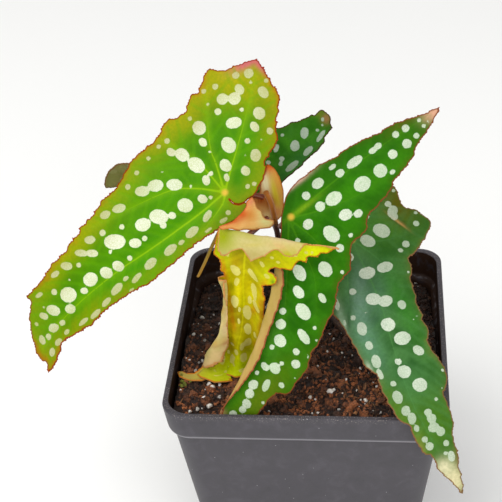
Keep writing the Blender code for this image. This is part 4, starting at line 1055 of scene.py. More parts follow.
def papery_skin(name, light, deep, margin):
    """Dry papery scale with lengthwise fibres, washed with the colours stored on it."""
    material, tree = new_material(name)
    flat = stored(tree, "flat").outputs["Vector"]
    wash = stored(tree, "wash").outputs
    fibre = cloud(tree, stretched(tree, flat, (1 / FIBRE_PITCH, 0.05 / FIBRE_PITCH, 1)), 1.0, 3)
    colour = laid_over(tree, light, (
        (cloud(tree, flat, 0.25, 3), deep), (wash["Alpha"], wash["Color"]),
        (ramp(tree, fibre, 0.45, 0.7, 0.0, 0.3), deep),
        (ramp(tree, stored(tree, "edge").outputs["Fac"], 0.1, 0.7, 0.7, 0.0), margin),
    ))
    dress(tree, colour, fibre, {"Roughness": 0.6, "Specular IOR Level": LEAF_SHINE}, strength=0.5, depth=0.2)
    return material


STIPULE_UPPER = Blade(
    name="sheath_upper", node="stipule_upper", place=(-9.3, 3.1, 137.9), turn=(112, 70, 0),
    bend=((0, 0), (22, 6)), halves=((6, -40), (6, -40)), tooth=SHEATH_TOOTH,
    outline=((0.6, 0.1), (-1.6, -1.4), (-4.4, -0.8), (-7.2, 1.8), (-8.9, 5), (-9.4, 9), (-7.6, 9.6),
             (-6.3, 10.3), (-5.9, 12.2), (-4.7, 14.7), (-3, 16.8), (-1.8, 19.2), (0.7, 16.8),
             (1.9, 13.2), (2.4, 8.9), (1.8, 4.5), (1.3, 0.9)),
    washes=(
        (1.2, 13, 2, 8, 0, "#F0B048", 0.9), (-3.8, 12.5, 2, 4.5, 0, "#F8F4C4", 0.95),
        (-0.8, 8, 1.3, 6.5, -5, "#DED42C", 0.95), (-1.4, 18.4, 2.8, 2.2, 0, "#E85A0C", 0.95),
        # painted shade: the dark washes at (-6.4, 7.4) and (-3.6, 5.6) are the sheath's shaded inside over
        # its own orange-brown
        (-6.4, 7.4, 3.2, 2.4, 0, "#9A4006", 1.0), (-3.6, 5.6, 2.4, 2.2, 0, "#A85408", 0.95),
        (-5, 1.0, 4, 2, 0, "#F4DCA0", 0.95), (-1, 1.6, 2, 2, 0, "#E89A60", 0.85),
    ),
)
STIPULE_LOWER = Blade(
    name="sheath_lower", node="stipule_lower", place=(-11.3, -10.7, 148.1), turn=(-137, 15, 62),
    bend=((0, 0), (24, 8)), halves=((0, -120), (0, -60)), tooth=SHEATH_TOOTH,
    outline=((-2.2, -0.4), (-3.4, -0.3), (-4.6, 1.6), (-4.2, 6.3), (-4.2, 8.6), (-3.5, 11.7), (-3.3, 14.9),
             (-2.1, 17.7), (-2, 20.9), (-0.6, 21.8), (0, 16.8), (1.5, 13.7), (2.9, 11.4), (4.2, 10.1),
             (5.8, 9.6), (6.9, 7.2), (5.4, 6.3), (2.9, 5.6), (1.7, 4.1), (-0.1, 3.7), (-1.3, 2.7)),
    washes=(
        (-2, 3, 3.6, 4, 0, "#CCC884", 0.95), (2, 4.6, 2, 2, 0, "#D0C078", 0.8),
        (1, 9, 2.4, 2.6, 0, "#CC8A3C", 0.85), (5.6, 8.2, 1.8, 2.2, 0, "#CC7A58", 0.9),
        (2, 12.4, 1.8, 3, 0, "#C0480A", 0.95), (0.4, 17, 1.5, 5, 0, "#B83C08", 0.95),
        (-3.6, 13, 1, 9, 0, "#D2AC64", 0.95), (-2.4, 19, 1.2, 3, 0, "#CC9048", 0.8),
    ),
)
STIPULE_DRY = Blade(
    name="sheath_dry", node="stipule_dry", place=(-30.4, -14, 140.5), turn=(190, -65, 0),
    bend=((-20, -60), (0, 0), (24, -14)), tooth=SHEATH_TOOTH,
    outline=((0, -16), (-1, -12), (-1.5, 0), (-1.8, 5), (-3.2, 10), (-4.4, 14.6), (-3, 15.6), (-0.8, 10),
             (0.9, 5), (1.2, 0), (0.9, -12)),
    washes=((-1, 6, 3, 7, 0, "#A08A1C", 0.8), (0, -10, 2, 10, 0, "#8E9030", 0.7),
            (-3.4, 13, 2, 3, 0, "#A87C14", 0.7)),
)
fresh_scale = papery_skin("papery_fresh_sheath", "#E8C078", "#D08840", "#B8541C")
# The sheaths' inner face is dark red-brown: its own colour darkened further as painted shade.
shaded_inner_scale = papery_skin("papery_sheath_inside", "#7E3A20", "#6A2814", "#8A4A28")
straw_scale = papery_skin("papery_dry_sheath", "#C9A24A", "#A67E34", "#86602A")
make_blade(STIPULE_UPPER, fresh_scale, shaded_inner_scale, "stipule_fresh")
make_blade(STIPULE_LOWER, fresh_scale, shaded_inner_scale, "stipule_fresh")
make_blade(STIPULE_DRY, straw_scale, straw_scale, "stipule_straw")

# %% [markdown]
# ## Cane and stalks
#
# The cane grows in joints, like bamboo: a swollen ring marks each place where a leaf was set. It and the
# stalks follow a path, so Geometry Nodes sweep a circle along each route. The radius at every point of the
# route comes from a formula and is carried by the curve itself.

# %% Stem tree
STEM_SIDES = 28
CANE_DIAMETER = 4.2
CANE_ROUTE = ((-7.5, 2.0, 62.0), (-7.8, 2.0, 80), (-8.4, 1.4, 96), (-8.8, 1.2, 110), (-9.8, 0.6, 124),
              (-10.8, -0.4, 136), (-12.0, -1.6, 146), (-13.4, -3.4, 152))
CANE_NODES = (97, 111, 124, 137, 146)
NODE_SWELLING = 0.22
NODE_LENGTH = 2.2
SCAR_WIDTH = 0.5
SCAR_HEIGHT = 0.05
PETIOLE_DIAMETER = 2.2
PETIOLE_END_RUN = 3.0
PETIOLE_FLARE = 0.25
TIP_START = 2
TIP_LENGTH = 9
TIP_TAPER = 0.6
CAD_HALF_BLADE = 0.35
PETIOLE_ROUTES = {
    "upper_left": ((-14.6, -1.2, 148.6), (-19, -2, 150.2), (-24, -4.2, 151.8)),
    "centre": ((-9.0, -3.0, 137.5), (-7.4, -4.8, 140.5)),
    "right": ((-6.2, 2.8, 111.0), (2, 4.8, 114.0), (10, 6.6, 118.2)),
    "young": ((-13.4, -4.6, 142.0), (-15.5, -10, 142.8), (-17.6, -15.5, 144.0)),
    "back": ((-9.8, 4.0, 124.2), (-11.5, 9, 127.5), (-15.2, 16.5, 132.4)),
}


def new_tree(name, sockets):
    """Geometry node tree with a geometry in and out and these named inputs."""
    tree = bpy.data.node_groups.new(name, "GeometryNodeTree")
    tree.interface.new_socket("Geometry", in_out="INPUT", socket_type="NodeSocketGeometry")
    for socket, kind in sockets.items():
        tree.interface.new_socket(socket, in_out="INPUT", socket_type=f"NodeSocket{kind}")
    tree.interface.new_socket("Geometry", in_out="OUTPUT", socket_type="NodeSocketGeometry")
    return tree


def grown(source, tree, values, name):
    """Run a node tree on an object and keep the result as a plain mesh object. The source is removed."""
    modifier = source.modifiers.new(tree.name, "NODES")
    modifier.node_group = tree
    for item in tree.interface.items_tree:
        if item.in_out == "INPUT" and item.name in values:
            modifier[item.identifier] = values[item.name]
    depsgraph = bpy.context.evaluated_depsgraph_get()
    mesh = bpy.data.meshes.new_from_object(source.evaluated_get(depsgraph), depsgraph=depsgraph)
    mesh.name = name
    bpy.data.objects.remove(source)
    return in_scene(name, mesh)


def finish_tree(tree, geometry, skin):
    """Make copies real, give the geometry its material and send it out."""
    real = add(tree, "GeometryNodeRealizeInstances", {"Geometry": geometry})
    skinned = add(tree, "GeometryNodeSetMaterial", {"Geometry": real, "Material": skin})
    add(tree, "NodeGroupOutput", {"Geometry": skinned})


stem_tree = new_tree("stem_along_route", {"Sides": "Int", "Unit": "Float", "Skin": "Material"})
entry = add(stem_tree, "NodeGroupInput").outputs
ring = add(stem_tree, "GeometryNodeCurvePrimitiveCircle", {"Resolution": entry["Sides"],
                                                           "Radius": entry["Unit"]})
sweep = add(stem_tree, "GeometryNodeCurveToMesh", {"Curve": entry["Geometry"], "Profile Curve": ring,
                                                   "Fill Caps": True})
finish_tree(stem_tree, sweep, entry["Skin"])


def make_stem(name, route, radii, skin, slot, *nodes):
    """Stem swept along a route, with a radius in millimetres at each point."""
    curve = bpy.data.curves.new(name, "CURVE")
    curve.dimensions = "3D"
    spline = curve.splines.new("POLY")
    spline.points.add(len(route) - 1)
    for place, radius, point in zip(route, radii, spline.points):
        point.co = (*(place * MM), 1)
        point.radius = radius
    source = in_scene(name + "_route", curve)
    piece = grown(source, stem_tree, {"Sides": STEM_SIDES, "Unit": MM, "Skin": skin}, name)
    piece.data.shade_smooth()
    piece.data.set_sharp_from_angle(angle=radians(60))
    register(piece, slot, *nodes)


# %% [markdown]
# ## Stem skin
#
# The cane's skin is dark red-brown and waxy, with pale breathing pores that look like short dashes. Its
# youngest joint, between the sheaths, is still orange-brown. The stalks are lighter red-brown. All are
# smooth, so the roughness is low and the relief slight.

# %% Stems
PORE_PITCH = 1.6
STREAKS_PER_METRE = 900
PATCHES_PER_METRE = 130
YOUNG_FROM = 136.0
YOUNG_FULL = 140.0


def stem_skin(name, light, deep, pore, young, roughness):
    """Waxy stem skin with long streaks and small pale pores. It turns to the young colour near the top."""
    material, tree = new_material(name)
    place = object_place(tree)
    streak = cloud(tree, stretched(tree, place, (1, 1, 0.2)), STREAKS_PER_METRE, 4)
    pores = cells(tree, stretched(tree, place, (1, 1, 0.45)), 1 / (PORE_PITCH * MM))
    upward = add(tree, "ShaderNodeSeparateXYZ", {0: place}).outputs["Z"]
    colour = laid_over(tree, light, (
        (ramp(tree, cloud(tree, place, PATCHES_PER_METRE, 2), 0.4, 0.6), deep),
        (ramp(tree, streak, 0.4, 0.7, 0.0, 0.5), deep),
        (ramp(tree, pores, 0.1, 0.16, 0.8, 0.0), pore),
        (ramp(tree, upward, YOUNG_FROM * MM, YOUNG_FULL * MM), young),
    ))
    dress(tree, colour, streak, {"Roughness": roughness, "IOR": LEAF_IOR}, strength=0.3, depth=0.2)
    return material


cane_route = smooth_route(CANE_ROUTE, 0.4)
height = cane_route[:, 2]
swelling = sum(np.exp(-((height - node) / NODE_LENGTH) ** 2) for node in CANE_NODES)
scars = sum(np.exp(-((height - node) / SCAR_WIDTH) ** 2) for node in CANE_NODES)
tip = np.clip((height - CANE_NODES[-1] + TIP_START) / TIP_LENGTH, 0, 1)
cane_radii = CANE_DIAMETER / 2 * (1 + NODE_SWELLING * swelling + SCAR_HEIGHT * scars) * (1 - TIP_TAPER * tip)
make_stem("cane_stem", cane_route, cane_radii,
          stem_skin("waxy_cane_skin", "#4E1A12", "#2E100C", "#8A5A48", "#B06A24", 0.45), "cane_skin", "cane")
stalk_skin = stem_skin("waxy_stalk_skin", "#8A4428", "#6A2E1A", "#B07A56", "#7A3414", 0.4)
for blade in (LEAF_UPPER_LEFT, LEAF_CENTRE, LEAF_RIGHT, LEAF_YOUNG, LEAF_BACK):
    short = blade.name.replace("blade_", "")
    junction = np.zeros((1, 2))
    ends = [blade_place(blade, junction, np.array([-CAD_HALF_BLADE - run]))[0]
            for run in (PETIOLE_END_RUN, 0)]
    route = smooth_route([*PETIOLE_ROUTES[short], *ends], 0.7)
    flare = 1 + PETIOLE_FLARE * np.exp(-np.arange(len(route)) / 2.5)
    make_stem("stalk_" + short, route, PETIOLE_DIAMETER / 2 * flare, stalk_skin, "petiole_skin",
              "petiole_" + short)

# %% [markdown]
# ## The pot
#
# Nursery pots are injection moulded from recycled polypropylene: charcoal grey, dull, with a fine grain
# from the mould, and with a band round the rim that stiffens it. A stack of rounded squares makes the
# wall, up the outside, over the rim and down the inside. Every corner of that profile is rounded with a
# small arc, because a moulded edge always catches a thin line of light. A pale line painted along the
# band's foot is a highlight, and the inner wall below the rim is darkened by soil stain and painted shade.

# %% Pot shape
RIM_SIDE = 100.0
POT_HEIGHT = 90.0
BASE_SIDE = 75.0
BAND_HEIGHT = 12.0
BAND_STEP = 1.7
RIM_WIDTH = 2.0
WALL = 1.0
FLOOR_THICKNESS = 2.2
CORNER_RADIUS = 8.5
BODY_TOP_SIDE = 94.3
DRAIN_DIAMETER = 9.0
DRAIN_OFFSET = 24.0
DRAIN_SIDES = 32
FOOT_RADIUS = 1.2
EDGE_RADIUS = 0.45
BAND_BEVEL = 1.6
ARC_STEPS = 4
CORNER_STEPS = 14


def rounded_square(side, radius, height, per_corner):
    """One level ring of points, anticlockwise seen from above."""
    points = []
    for corner in range(4):
        start = corner * pi / 2
        centre = (side / 2 - radius) * np.array([cos(start) - sin(start), sin(start) + cos(start)])
        for step in range(per_corner + 1):
            angle = start + step * pi / 2 / per_corner
            points.append((centre[0] + radius * cos(angle), centre[1] + radius * sin(angle), height))
    return points


def rounded_profile(points):
    """Profile whose inner corners are rounded. Each point is (half side, height, radius)."""
    out = [np.array(points[0][:2], float)]
    for (*before, _), (*corner, radius), (*after, _) in zip(points, points[1:], points[2:]):
        corner = np.array(corner, float)
        back, ahead = np.array(before) - corner, np.array(after) - corner
        reach = min(radius, np.linalg.norm(back) / 2, np.linalg.norm(ahead) / 2)
        start = corner + back / np.linalg.norm(back) * reach
        end = corner + ahead / np.linalg.norm(ahead) * reach
        for step in range(ARC_STEPS + 1):
            t = step / ARC_STEPS
            out.append((1 - t) ** 2 * start + 2 * t * (1 - t) * corner + t * t * end)
    out.append(np.array(points[-1][:2], float))
    return out


def loft_rings(rings):
    """Closed solid from rings of equal count, first ring to last, with both ends capped."""
    count = len(rings[0])
    faces = []
    for level in range(len(rings) - 1):
        low, high = level * count, (level + 1) * count
        for step in range(count):
            following = (step + 1) % count
            faces.append((low + step, low + following, high + following, high + step))
    faces.append(tuple(reversed(range(count))))
    faces.append(tuple(range((len(rings) - 1) * count, len(rings) * count)))
    return [point for ring in rings for point in ring], faces


def inner_side(height):
    """Side of the pot's inner wall at this height, below its rim band."""
    taper = (BODY_TOP_SIDE - BASE_SIDE) / (POT_HEIGHT - BAND_HEIGHT)
    return BASE_SIDE + taper * height - 2 * WALL


# %% Pot materials
MOULD_GRAIN = 0.45
SCUFF_SIZE = 6.0
SPECK_SIZE = 1.3
SPECK_RARITY = 0.96
LIP_DUST_DEPTH = 2.5
FOOT_HIGHLIGHT_WIDTH = 1.2


def pot_plastic(name, soiled_and_shaded):
    """Moulded charcoal polypropylene: fine grain, faint scuffs, a painted highlight along the band's foot,
    pale specks, and on the inner wall soil stain with painted shade.
    """
    material, tree = new_material(name)
    place = object_place(tree)
    grain = cloud(tree, place, 1 / (MOULD_GRAIN * MM), 2)
    scuffs = cloud(tree, place, 1 / (SCUFF_SIZE * MM), 7, 0.65, 0.6)
    specks = cells(tree, place, 1 / (SPECK_SIZE * MM))
    drawn = add(tree, "ShaderNodeSeparateColor", {"Color": specks.outputs["Color"]})
    rare = maths(tree, "GREATER_THAN", drawn, SPECK_RARITY)
    upward = add(tree, "ShaderNodeSeparateXYZ", {0: place}).outputs["Z"]
    from_foot = maths(tree, "SUBTRACT", upward, (POT_HEIGHT - BAND_HEIGHT + BAND_BEVEL / 2) * MM)
    lip = ramp(tree, upward, (POT_HEIGHT - LIP_DUST_DEPTH) * MM, POT_HEIGHT * MM)
    colour = laid_over(tree, "#39363C", (
        (ramp(tree, scuffs, 0.46, 0.3, 0.0, 0.7), "#2E2C31"),
        (ramp(tree, scuffs, 0.5, 0.75, 0.0, 0.35), "#5C5960"),
        # painted highlight: a pale line along the band's foot
        (eased(tree, maths(tree, "ABSOLUTE", from_foot), 0.0, FOOT_HIGHLIGHT_WIDTH * MM, 0.6, 0.0), "#98969C"),
        (maths(tree, "MULTIPLY", ramp(tree, specks, 0.08, 0.16, 1.0, 0.0), rare), "#9A979A"),
        (maths(tree, "MULTIPLY", lip, ramp(tree, grain, 0.58, 0.7, 0.0, 0.6)), "#A89C94"),
        # soil stain and painted shade: dark soil brown over most of the inner wall
        (ramp(tree, scuffs, 0.3, 0.45, 0.0, 0.95 * soiled_and_shaded), "#2A1A10"),
    ))
    dull = {"Roughness": ramp(tree, scuffs, 0.0, 1.0, 0.42, 0.66), "IOR": 1.49,
            "Specular IOR Level": 0.5 - 0.42 * soiled_and_shaded}
    dress(tree, colour, grain, dull, strength=0.25, depth=0.1)
    return material


# %% Pot piece
band_foot = POT_HEIGHT - BAND_HEIGHT
band_side = BODY_TOP_SIDE + 2 * BAND_STEP
mouth_side = RIM_SIDE - 2 * RIM_WIDTH
POT_PROFILE = (
    (BASE_SIDE - 3 * FOOT_RADIUS, 0, 0), (BASE_SIDE, 0, FOOT_RADIUS),
    (BODY_TOP_SIDE, band_foot, 0.2), (band_side - BAND_BEVEL, band_foot, 1.0),
    (band_side, band_foot + BAND_BEVEL, 1.0),
    (RIM_SIDE, POT_HEIGHT, 2 * EDGE_RADIUS), (mouth_side, POT_HEIGHT, EDGE_RADIUS),
    (band_side - 2 * WALL, band_foot + WALL, 0.3), (inner_side(band_foot), band_foot - 0.6, 0.5),
    (inner_side(FLOOR_THICKNESS), FLOOR_THICKNESS, 0),
)
profile = rounded_profile(POT_PROFILE)
pot_rings = [rounded_square(side, CORNER_RADIUS - (RIM_SIDE - side) * 0.1, level, CORNER_STEPS)
             for side, level in profile]
outer_plastic = pot_plastic("moulded_charcoal_polypropylene", 0.0)
# The inner wall below the rim gets the soil stain and painted shade.
inner_plastic = pot_plastic("soil_stained_polypropylene", 1.0)
pot = mesh_object("nursery_pot", *loft_rings(pot_rings), [outer_plastic, inner_plastic])
for face in pot.data.polygons:
    inward = face.normal.x * face.center.x + face.normal.y * face.center.y < 0
    face.material_index = int(inward and face.center.z < (POT_HEIGHT - 1) * MM)
for right in (-1, 1):
    for back in (-1, 1):
        bpy.ops.mesh.primitive_cylinder_add(
            vertices=DRAIN_SIDES, radius=DRAIN_DIAMETER / 2 * MM, depth=3 * FLOOR_THICKNESS * MM,
            location=(right * DRAIN_OFFSET * MM, back * DRAIN_OFFSET * MM, 0))
        cutter = bpy.context.object
        cut = pot.modifiers.new("drain", "BOOLEAN")
        cut.object = cutter
        depsgraph = bpy.context.evaluated_depsgraph_get()
        drained = bpy.data.meshes.new_from_object(pot.evaluated_get(depsgraph), depsgraph=depsgraph)
        pot.modifiers.clear()
        pot.data = drained
        bpy.data.objects.remove(cutter)
pot.data.shade_smooth()
pot.data.set_sharp_from_angle(angle=radians(50))
register(pot, "pot_plastic", "pot")

# %% [markdown]
# ## The soil
#
# Potting mix is peat and coir fibre with white perlite, which is volcanic glass popped like corn. Its
# surface is made in two layers. First a bed: a fine grid, pressed into the pot's rounded square, with
# lumps of several sizes. Then loose grains, which Geometry Nodes scatter over the bed.

# %% Soil bed
SOIL_FRONT_LEVEL = 85.0
SOIL_BACK_DROP = 9.0
SOIL_SLOPE_START = -8.0
SOIL_SLOPE_LENGTH = 50.0
SOIL_LUMP = 5.0
SOIL_LUMP_HEIGHT = 1.4
SOIL_CRUMB = 2.2
SOIL_CRUMB_HEIGHT = 0.7
SOIL_CORNER_RADIUS = 7.8
SOIL_CELLS = 150
FIT_GAP = 0.3
PALE_RARITY = 1.9
DAMP_PATCH = 7.0
STRANDS_PER_METRE = 350
BACK_SHADE_FROM = -38.0
BACK_SHADE_FULL = 24.0


def soil_height(right, back):
    """Rough top of the soil: level at the front and lower towards the back wall."""
    slope = min(max((back - SOIL_SLOPE_START) / SOIL_SLOPE_LENGTH, 0), 1)
    slope = slope * slope * (3 - 2 * slope)
    lumps = noise.noise(Vector((right / SOIL_LUMP, back / SOIL_LUMP, 3.1)))
    crumbs = noise.fractal(Vector((right / SOIL_CRUMB, back / SOIL_CRUMB, 8.4)), 0.7, 2.1, 4)
    return (SOIL_FRONT_LEVEL - SOIL_BACK_DROP * slope - 0.6 + SOIL_LUMP_HEIGHT * lumps
            + SOIL_CRUMB_HEIGHT * crumbs)


def into_rounded_square(x, y, side, radius):
    """Press a point of a square into the same square with rounded corners."""
    inner = side / 2 - radius
    a, b = max(abs(x) - inner, 0), max(abs(y) - inner, 0)
    if a and b:
        shrink = max(a, b) / np.hypot(a, b)
        x = np.sign(x) * (inner + a * shrink)
        y = np.sign(y) * (inner + b * shrink)
    return x, y


def soil_bed():
    """Closed block of soil whose top is a fine rough grid and whose foot stands on the pot's floor."""
    shape = bmesh.new()
    bmesh.ops.create_grid(shape, x_segments=SOIL_CELLS, y_segments=SOIL_CELLS, size=0.5)
    top_side = inner_side(SOIL_FRONT_LEVEL) - 2 * FIT_GAP
    for vert in shape.verts:
        x, y = into_rounded_square(vert.co.x * top_side, vert.co.y * top_side, top_side, SOIL_CORNER_RADIUS)
        level = soil_height(x, y)
        narrower = (inner_side(level) - 2 * FIT_GAP) / top_side
        vert.co = Vector((x * narrower, y * narrower, level)) * MM
    rim = [edge for edge in shape.edges if edge.is_boundary]
    skirt = bmesh.ops.extrude_edge_only(shape, edges=rim)["geom"]
    foot = FLOOR_THICKNESS + FIT_GAP
    lowered = [part for part in skirt if isinstance(part, bmesh.types.BMVert)]
    for vert in lowered:
        narrower = (inner_side(foot) - 2 * FIT_GAP) / (inner_side(vert.co.z / MM) - 2 * FIT_GAP)
        vert.co = Vector((vert.co.x * narrower, vert.co.y * narrower, foot * MM))
    bmesh.ops.contextual_create(shape, geom=[edge for edge in shape.edges if edge.is_boundary])
    bmesh.ops.recalc_face_normals(shape, faces=shape.faces)
    mesh = bpy.data.meshes.new("soil_bed")
    shape.to_mesh(mesh)
    shape.free()
    mesh.shade_smooth()
    mesh.set_sharp_from_angle(angle=radians(70))
    return in_scene("soil_bed", mesh)


def soil_material(name, light, deep, fibre, scale, shade=0.85):
    """Moist peat. Each grain's own tone picks its colour, and the soil is darker towards the back as painted
    shade.
    """
    material, tree = new_material(name)
    place = object_place(tree)
    back = add(tree, "ShaderNodeSeparateXYZ", {0: place}).outputs["Y"]
    grain = cloud(tree, place, scale, 6, 0.7)
    colour = laid_over(tree, deep, (
        (maths(tree, "POWER", stored(tree, "tone").outputs["Fac"], PALE_RARITY), light),
        (ramp(tree, grain, 0.35, 0.62, 0.0, 0.75), deep),
        (ramp(tree, cloud(tree, place, STRANDS_PER_METRE, 4, 0.5, 3.0), 0.6, 0.68, 0.0, 0.6), fibre),
        (ramp(tree, cloud(tree, place, 1 / (DAMP_PATCH * MM), 3), 0.5, 0.62, 0.0, shade), "#1C0F08"),
        # painted shade: the soil grows darker towards the back
        (eased(tree, back, BACK_SHADE_FROM * MM, BACK_SHADE_FULL * MM, 0.0, shade), "#1A100A"),
    ))
    dress(tree, colour, grain, {"Roughness": 0.75}, strength=0.9, depth=0.6)
    return material


bed = soil_bed()
bed.data.materials.append(soil_material("moist_peat_bed", "#3A2012", "#24120A", "#5A3418", 900.0))
register(bed, "potting_soil", "soil")

# %% [markdown]
# ## Loose grains
#
# One node tree serves peat crumbs, bark chips, coir fibres and perlite. It scatters points over the bed by
# density and keeps those on its top, inside a rounded square. It sets the kind's grain shape on each, turned
# and sized at random from one seed, and makes the copies real. Each copy keeps a random tone, by which the
# material makes it pale or dark. A grain has few faces, because it shows as a handful of pixels.

# %% Grain tree
CORNER_CUT = 6.0
UPRIGHT = 0.3
GRAIN_SOCKETS = {"Grain": "Object", "Per Square Metre": "Float", "Smallest": "Float", "Largest": "Float",
                 "Lift": "Float", "Tilt": "Float", "Reach": "Float", "Seed": "Int", "Skin": "Material"}
grain_tree = new_tree("grains_over_soil", GRAIN_SOCKETS)
entry = add(grain_tree, "NodeGroupInput").outputs
spread = add(grain_tree, "GeometryNodeDistributePointsOnFaces",
             {"Mesh": entry["Geometry"], "Density": entry["Per Square Metre"], "Seed": entry["Seed"]},
             use_legacy_normal=True)
spot = add(grain_tree, "ShaderNodeSeparateXYZ", {0: add(grain_tree, "GeometryNodeInputPosition")}).outputs
right, back = (maths(grain_tree, "ABSOLUTE", spot[axis]) for axis in "XY")
slanted = maths(grain_tree, "MULTIPLY_ADD", maths(grain_tree, "ADD", right, back), 0.5, CORNER_CUT / 2 * MM)
furthest = maths(grain_tree, "MAXIMUM", maths(grain_tree, "MAXIMUM", right, back), slanted)
within = add(grain_tree, "FunctionNodeCompare", {0: furthest, 1: entry["Reach"]}, operation="LESS_THAN")
facing = add(grain_tree, "ShaderNodeSeparateXYZ", {0: spread.outputs["Normal"]}).outputs["Z"]
on_top = add(grain_tree, "FunctionNodeCompare", {0: facing, 1: UPRIGHT}, operation="GREATER_THAN")
wanted = add(grain_tree, "FunctionNodeBooleanMath", {0: within, 1: on_top}, operation="AND")
kept = add(grain_tree, "GeometryNodeSeparateGeometry", {"Geometry": spread, "Selection": wanted})
tilt = add(grain_tree, "ShaderNodeCombineXYZ", {0: entry["Tilt"], 1: entry["Tilt"], 2: 2 * pi})
turn = add(grain_tree, "FunctionNodeRandomValue", {0: (0, 0, 0), 1: tilt, "Seed": entry["Seed"]},
           data_type="FLOAT_VECTOR")
size = add(grain_tree, "FunctionNodeRandomValue", {2: entry["Smallest"], 3: entry["Largest"],
                                                   "Seed": entry["Seed"]})
chosen = add(grain_tree, "GeometryNodeObjectInfo", {"Object": entry["Grain"]})
placed = add(grain_tree, "GeometryNodeInstanceOnPoints",
             {"Points": kept, "Instance": chosen.outputs["Geometry"], "Rotation": turn,
              "Scale": size.outputs[1]})
lift = add(grain_tree, "ShaderNodeCombineXYZ", {2: entry["Lift"]})
raised = add(grain_tree, "GeometryNodeTranslateInstances", {"Instances": placed, "Translation": lift,
                                                            "Local Space": False})
tone = add(grain_tree, "FunctionNodeRandomValue", {"Seed": entry["Seed"]})
toned = add(grain_tree, "GeometryNodeStoreNamedAttribute",
            {"Geometry": raised, "Name": "tone", "Value": tone.outputs[1]}, domain="INSTANCE")
finish_tree(grain_tree, toned, entry["Skin"])

# %% Grains
GRAIN_ROUGHNESS = 0.5
FIBRE_RADIUS = 0.011
FIBRE_RINGS = 8
CRUMB = (1, 0.85, 0.75)


def grain_shape(name, stretch, seed, fineness=1):
    """Small uneven lump, one unit across before it is stretched."""
    shape = bmesh.new()
    bmesh.ops.create_icosphere(shape, subdivisions=fineness, radius=0.5)
    for vert in shape.verts:
        push = 1 + GRAIN_ROUGHNESS * 2 * noise.noise(vert.co * 2.2 + Vector((seed, 0, 0)))
        vert.co = Vector([part * push * scale for part, scale in zip(vert.co, stretch)])
    mesh = bpy.data.meshes.new(name)
    shape.to_mesh(mesh)
    shape.free()
    return in_scene(name, mesh)


def fibre_shape(name):
    """Thin bent strand, one unit long, with three sides."""
    points, faces = [], []
    for ring in range(FIBRE_RINGS):
        t = ring / (FIBRE_RINGS - 1)
        centre = np.array([t - 0.5, 0.22 * sin(2.6 * t) - 0.1, 0.1 * sin(5 * t)])
        for corner in range(3):
            angle = corner * 2 * pi / 3
            points.append((centre + FIBRE_RADIUS * np.array([0, cos(angle), sin(angle)])) / MM)
        if ring:
            low, high = (ring - 1) * 3, ring * 3
            faces += [(low + k, low + (k + 1) % 3, high + (k + 1) % 3, high + k) for k in range(3)]
    last = 3 * (FIBRE_RINGS - 1)
    faces += [(2, 1, 0), (last, last + 1, last + 2)]
    return mesh_object(name, points, faces)


def scatter(name, grain, per_square_metre, smallest, largest, lift, tilt, reach, seed, skin):
    """Grains of one kind over the soil bed. Sizes are in millimetres, and reach is how far out they lie."""
    source = in_scene(name + "_source", bed.data.copy())
    values = {"Grain": grain, "Per Square Metre": float(per_square_metre), "Smallest": smallest * MM,
              "Largest": largest * MM, "Lift": lift * MM, "Tilt": tilt, "Reach": reach * MM, "Seed": seed,
              "Skin": skin}
    piece = grown(source, grain_tree, values, name)
    bpy.data.objects.remove(grain)
    register(piece, "potting_soil")


peat_skin = soil_material("peat_crumbs", "#D07C46", "#2A1409", "#84482A", 1400.0)
bark_skin = soil_material("composted_bark", "#C88A54", "#4A2814", "#8A5A34", 700.0)
coir_skin = soil_material("coir_fibre", "#C08A50", "#5A3418", "#B08450", 900.0)
perlite_skin = soil_material("popped_perlite", "#F6F4F0", "#DCD6CC", "#FFFFFF", 1200.0, 0.4)
scatter("peat_crumbs", grain_shape("crumb", CRUMB, 3), per_square_metre=900000, smallest=0.45, largest=1.6,
        lift=0.1, tilt=pi, reach=46, seed=1, skin=peat_skin)
scatter("peat_lumps", grain_shape("lump", CRUMB, 5, 2), per_square_metre=26000, smallest=2.0, largest=4.4,
        lift=0.2, tilt=pi, reach=43.5, seed=5, skin=peat_skin)
scatter("bark_chips", grain_shape("chip", (1.3, 0.5, 0.25), 9), per_square_metre=26000, smallest=0.8,
        largest=2.8, lift=0.7, tilt=1.2, reach=44.5, seed=2, skin=bark_skin)
scatter("coir_fibres", fibre_shape("strand"), per_square_metre=110000, smallest=1.6, largest=6.5,
        lift=0.9, tilt=0.6, reach=43, seed=3, skin=coir_skin)
scatter("perlite_grains", grain_shape("pearl", CRUMB, 17), per_square_metre=22000, smallest=0.4, largest=1.2,
        lift=0.7, tilt=pi, reach=45.5, seed=4, skin=perlite_skin)

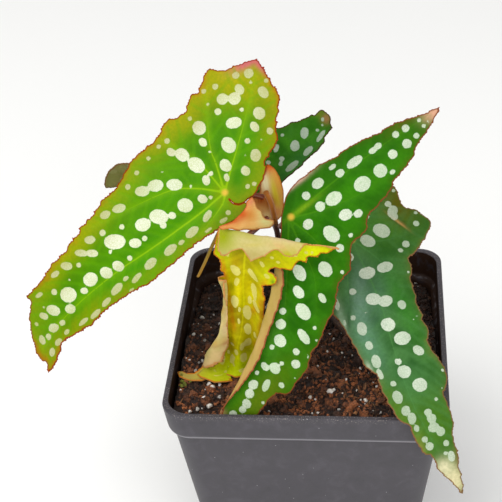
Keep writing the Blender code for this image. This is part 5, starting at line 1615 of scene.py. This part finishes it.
# %% Perlite and moss in their places
PERLITE = ((-42.7, 15.4, 1.6), (-44, 1, 1.2), (-39.5, -3.1, 1.2), (-38.7, -15.7, 1.2), (-40, -16.6, 0.9),
           (-37.8, -14.8, 0.8), (-40.7, -20.7, 1.2), (-35.2, -27.7, 1.9), (-33.6, -29.3, 1.6),
           (-30.5, -35, 1.4), (-33.9, -39.8, 1.9), (-37.7, -41.4, 1.4), (-40.4, -42.5, 1.2),
           (8.4, -30.9, 2.1), (9.8, -30.2, 1.1), (1.4, -34.7, 1.3), (21.1, -34.8, 1.4), (-16, -41.5, 1.2))
MOSS = ((-45, -26, 1.6), (-44, -27.5, 1.3), (-45.4, -28.4, 1.2), (-43.2, -25.4, 1.1), (-44.6, -30, 1.2),
        (-42, -27.4, 0.9), (-43.4, -29.2, 1.0), (-45.6, -24, 0.9))
GRAIN_LIFT = 1.5
GRAIN_TURN = 2.4
ROOT_RADIUS = 0.35


def place_grains(name, places, skin):
    """Grains at given places. Each place is (right, back, size)."""
    grain = grain_shape(name + "_grain", CRUMB, 17, 2)
    unit = np.array([vert.co for vert in grain.data.vertices])
    sides = [tuple(face.vertices) for face in grain.data.polygons]
    bpy.data.objects.remove(grain)
    points, faces = [], []
    for number, (right, back, size) in enumerate(places):
        turn = np.array(Matrix.Rotation(GRAIN_TURN * number, 3, "Z"))
        centre = np.array([right, back, soil_height(right, back) + GRAIN_LIFT])
        faces += [tuple(corner + len(points) for corner in side) for side in sides]
        points += list(unit @ turn * size + centre)
    register(mesh_object(name, points, faces, [skin]), "potting_soil")


place_grains("perlite_in_place", PERLITE, perlite_skin)
place_grains("moss_bits", MOSS, soil_material("moss_bits", "#8A8A1E", "#6A701A", "#A8A02C", 1400.0, 0.3))
root_route = smooth_route(((5.7, 16.9, 83.5), (9.5, 9, 84.6), (12.2, 4, 84.8), (15.6, -2, 84.4)), 0.5)
make_stem("bare_root", root_route, np.full(len(root_route), ROOT_RADIUS), coir_skin, "potting_soil")

# %% [markdown]
# ## The size
#
# Both boxes, of the imported model and of the visible model, are printed so that they can be compared.
# The visible model must stay in the box of the imported one, apart from a small allowance.

# %% Finish
VISUAL_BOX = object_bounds()
boxes = {"cad": [list(corner) for corner in CAD_BOX], "visual": [list(corner) for corner in VISUAL_BOX]}
for title, (low, high) in boxes.items():
    print(title, "box:", [round((b - a) / MM, 1) for a, b in zip(low, high)], "mm")
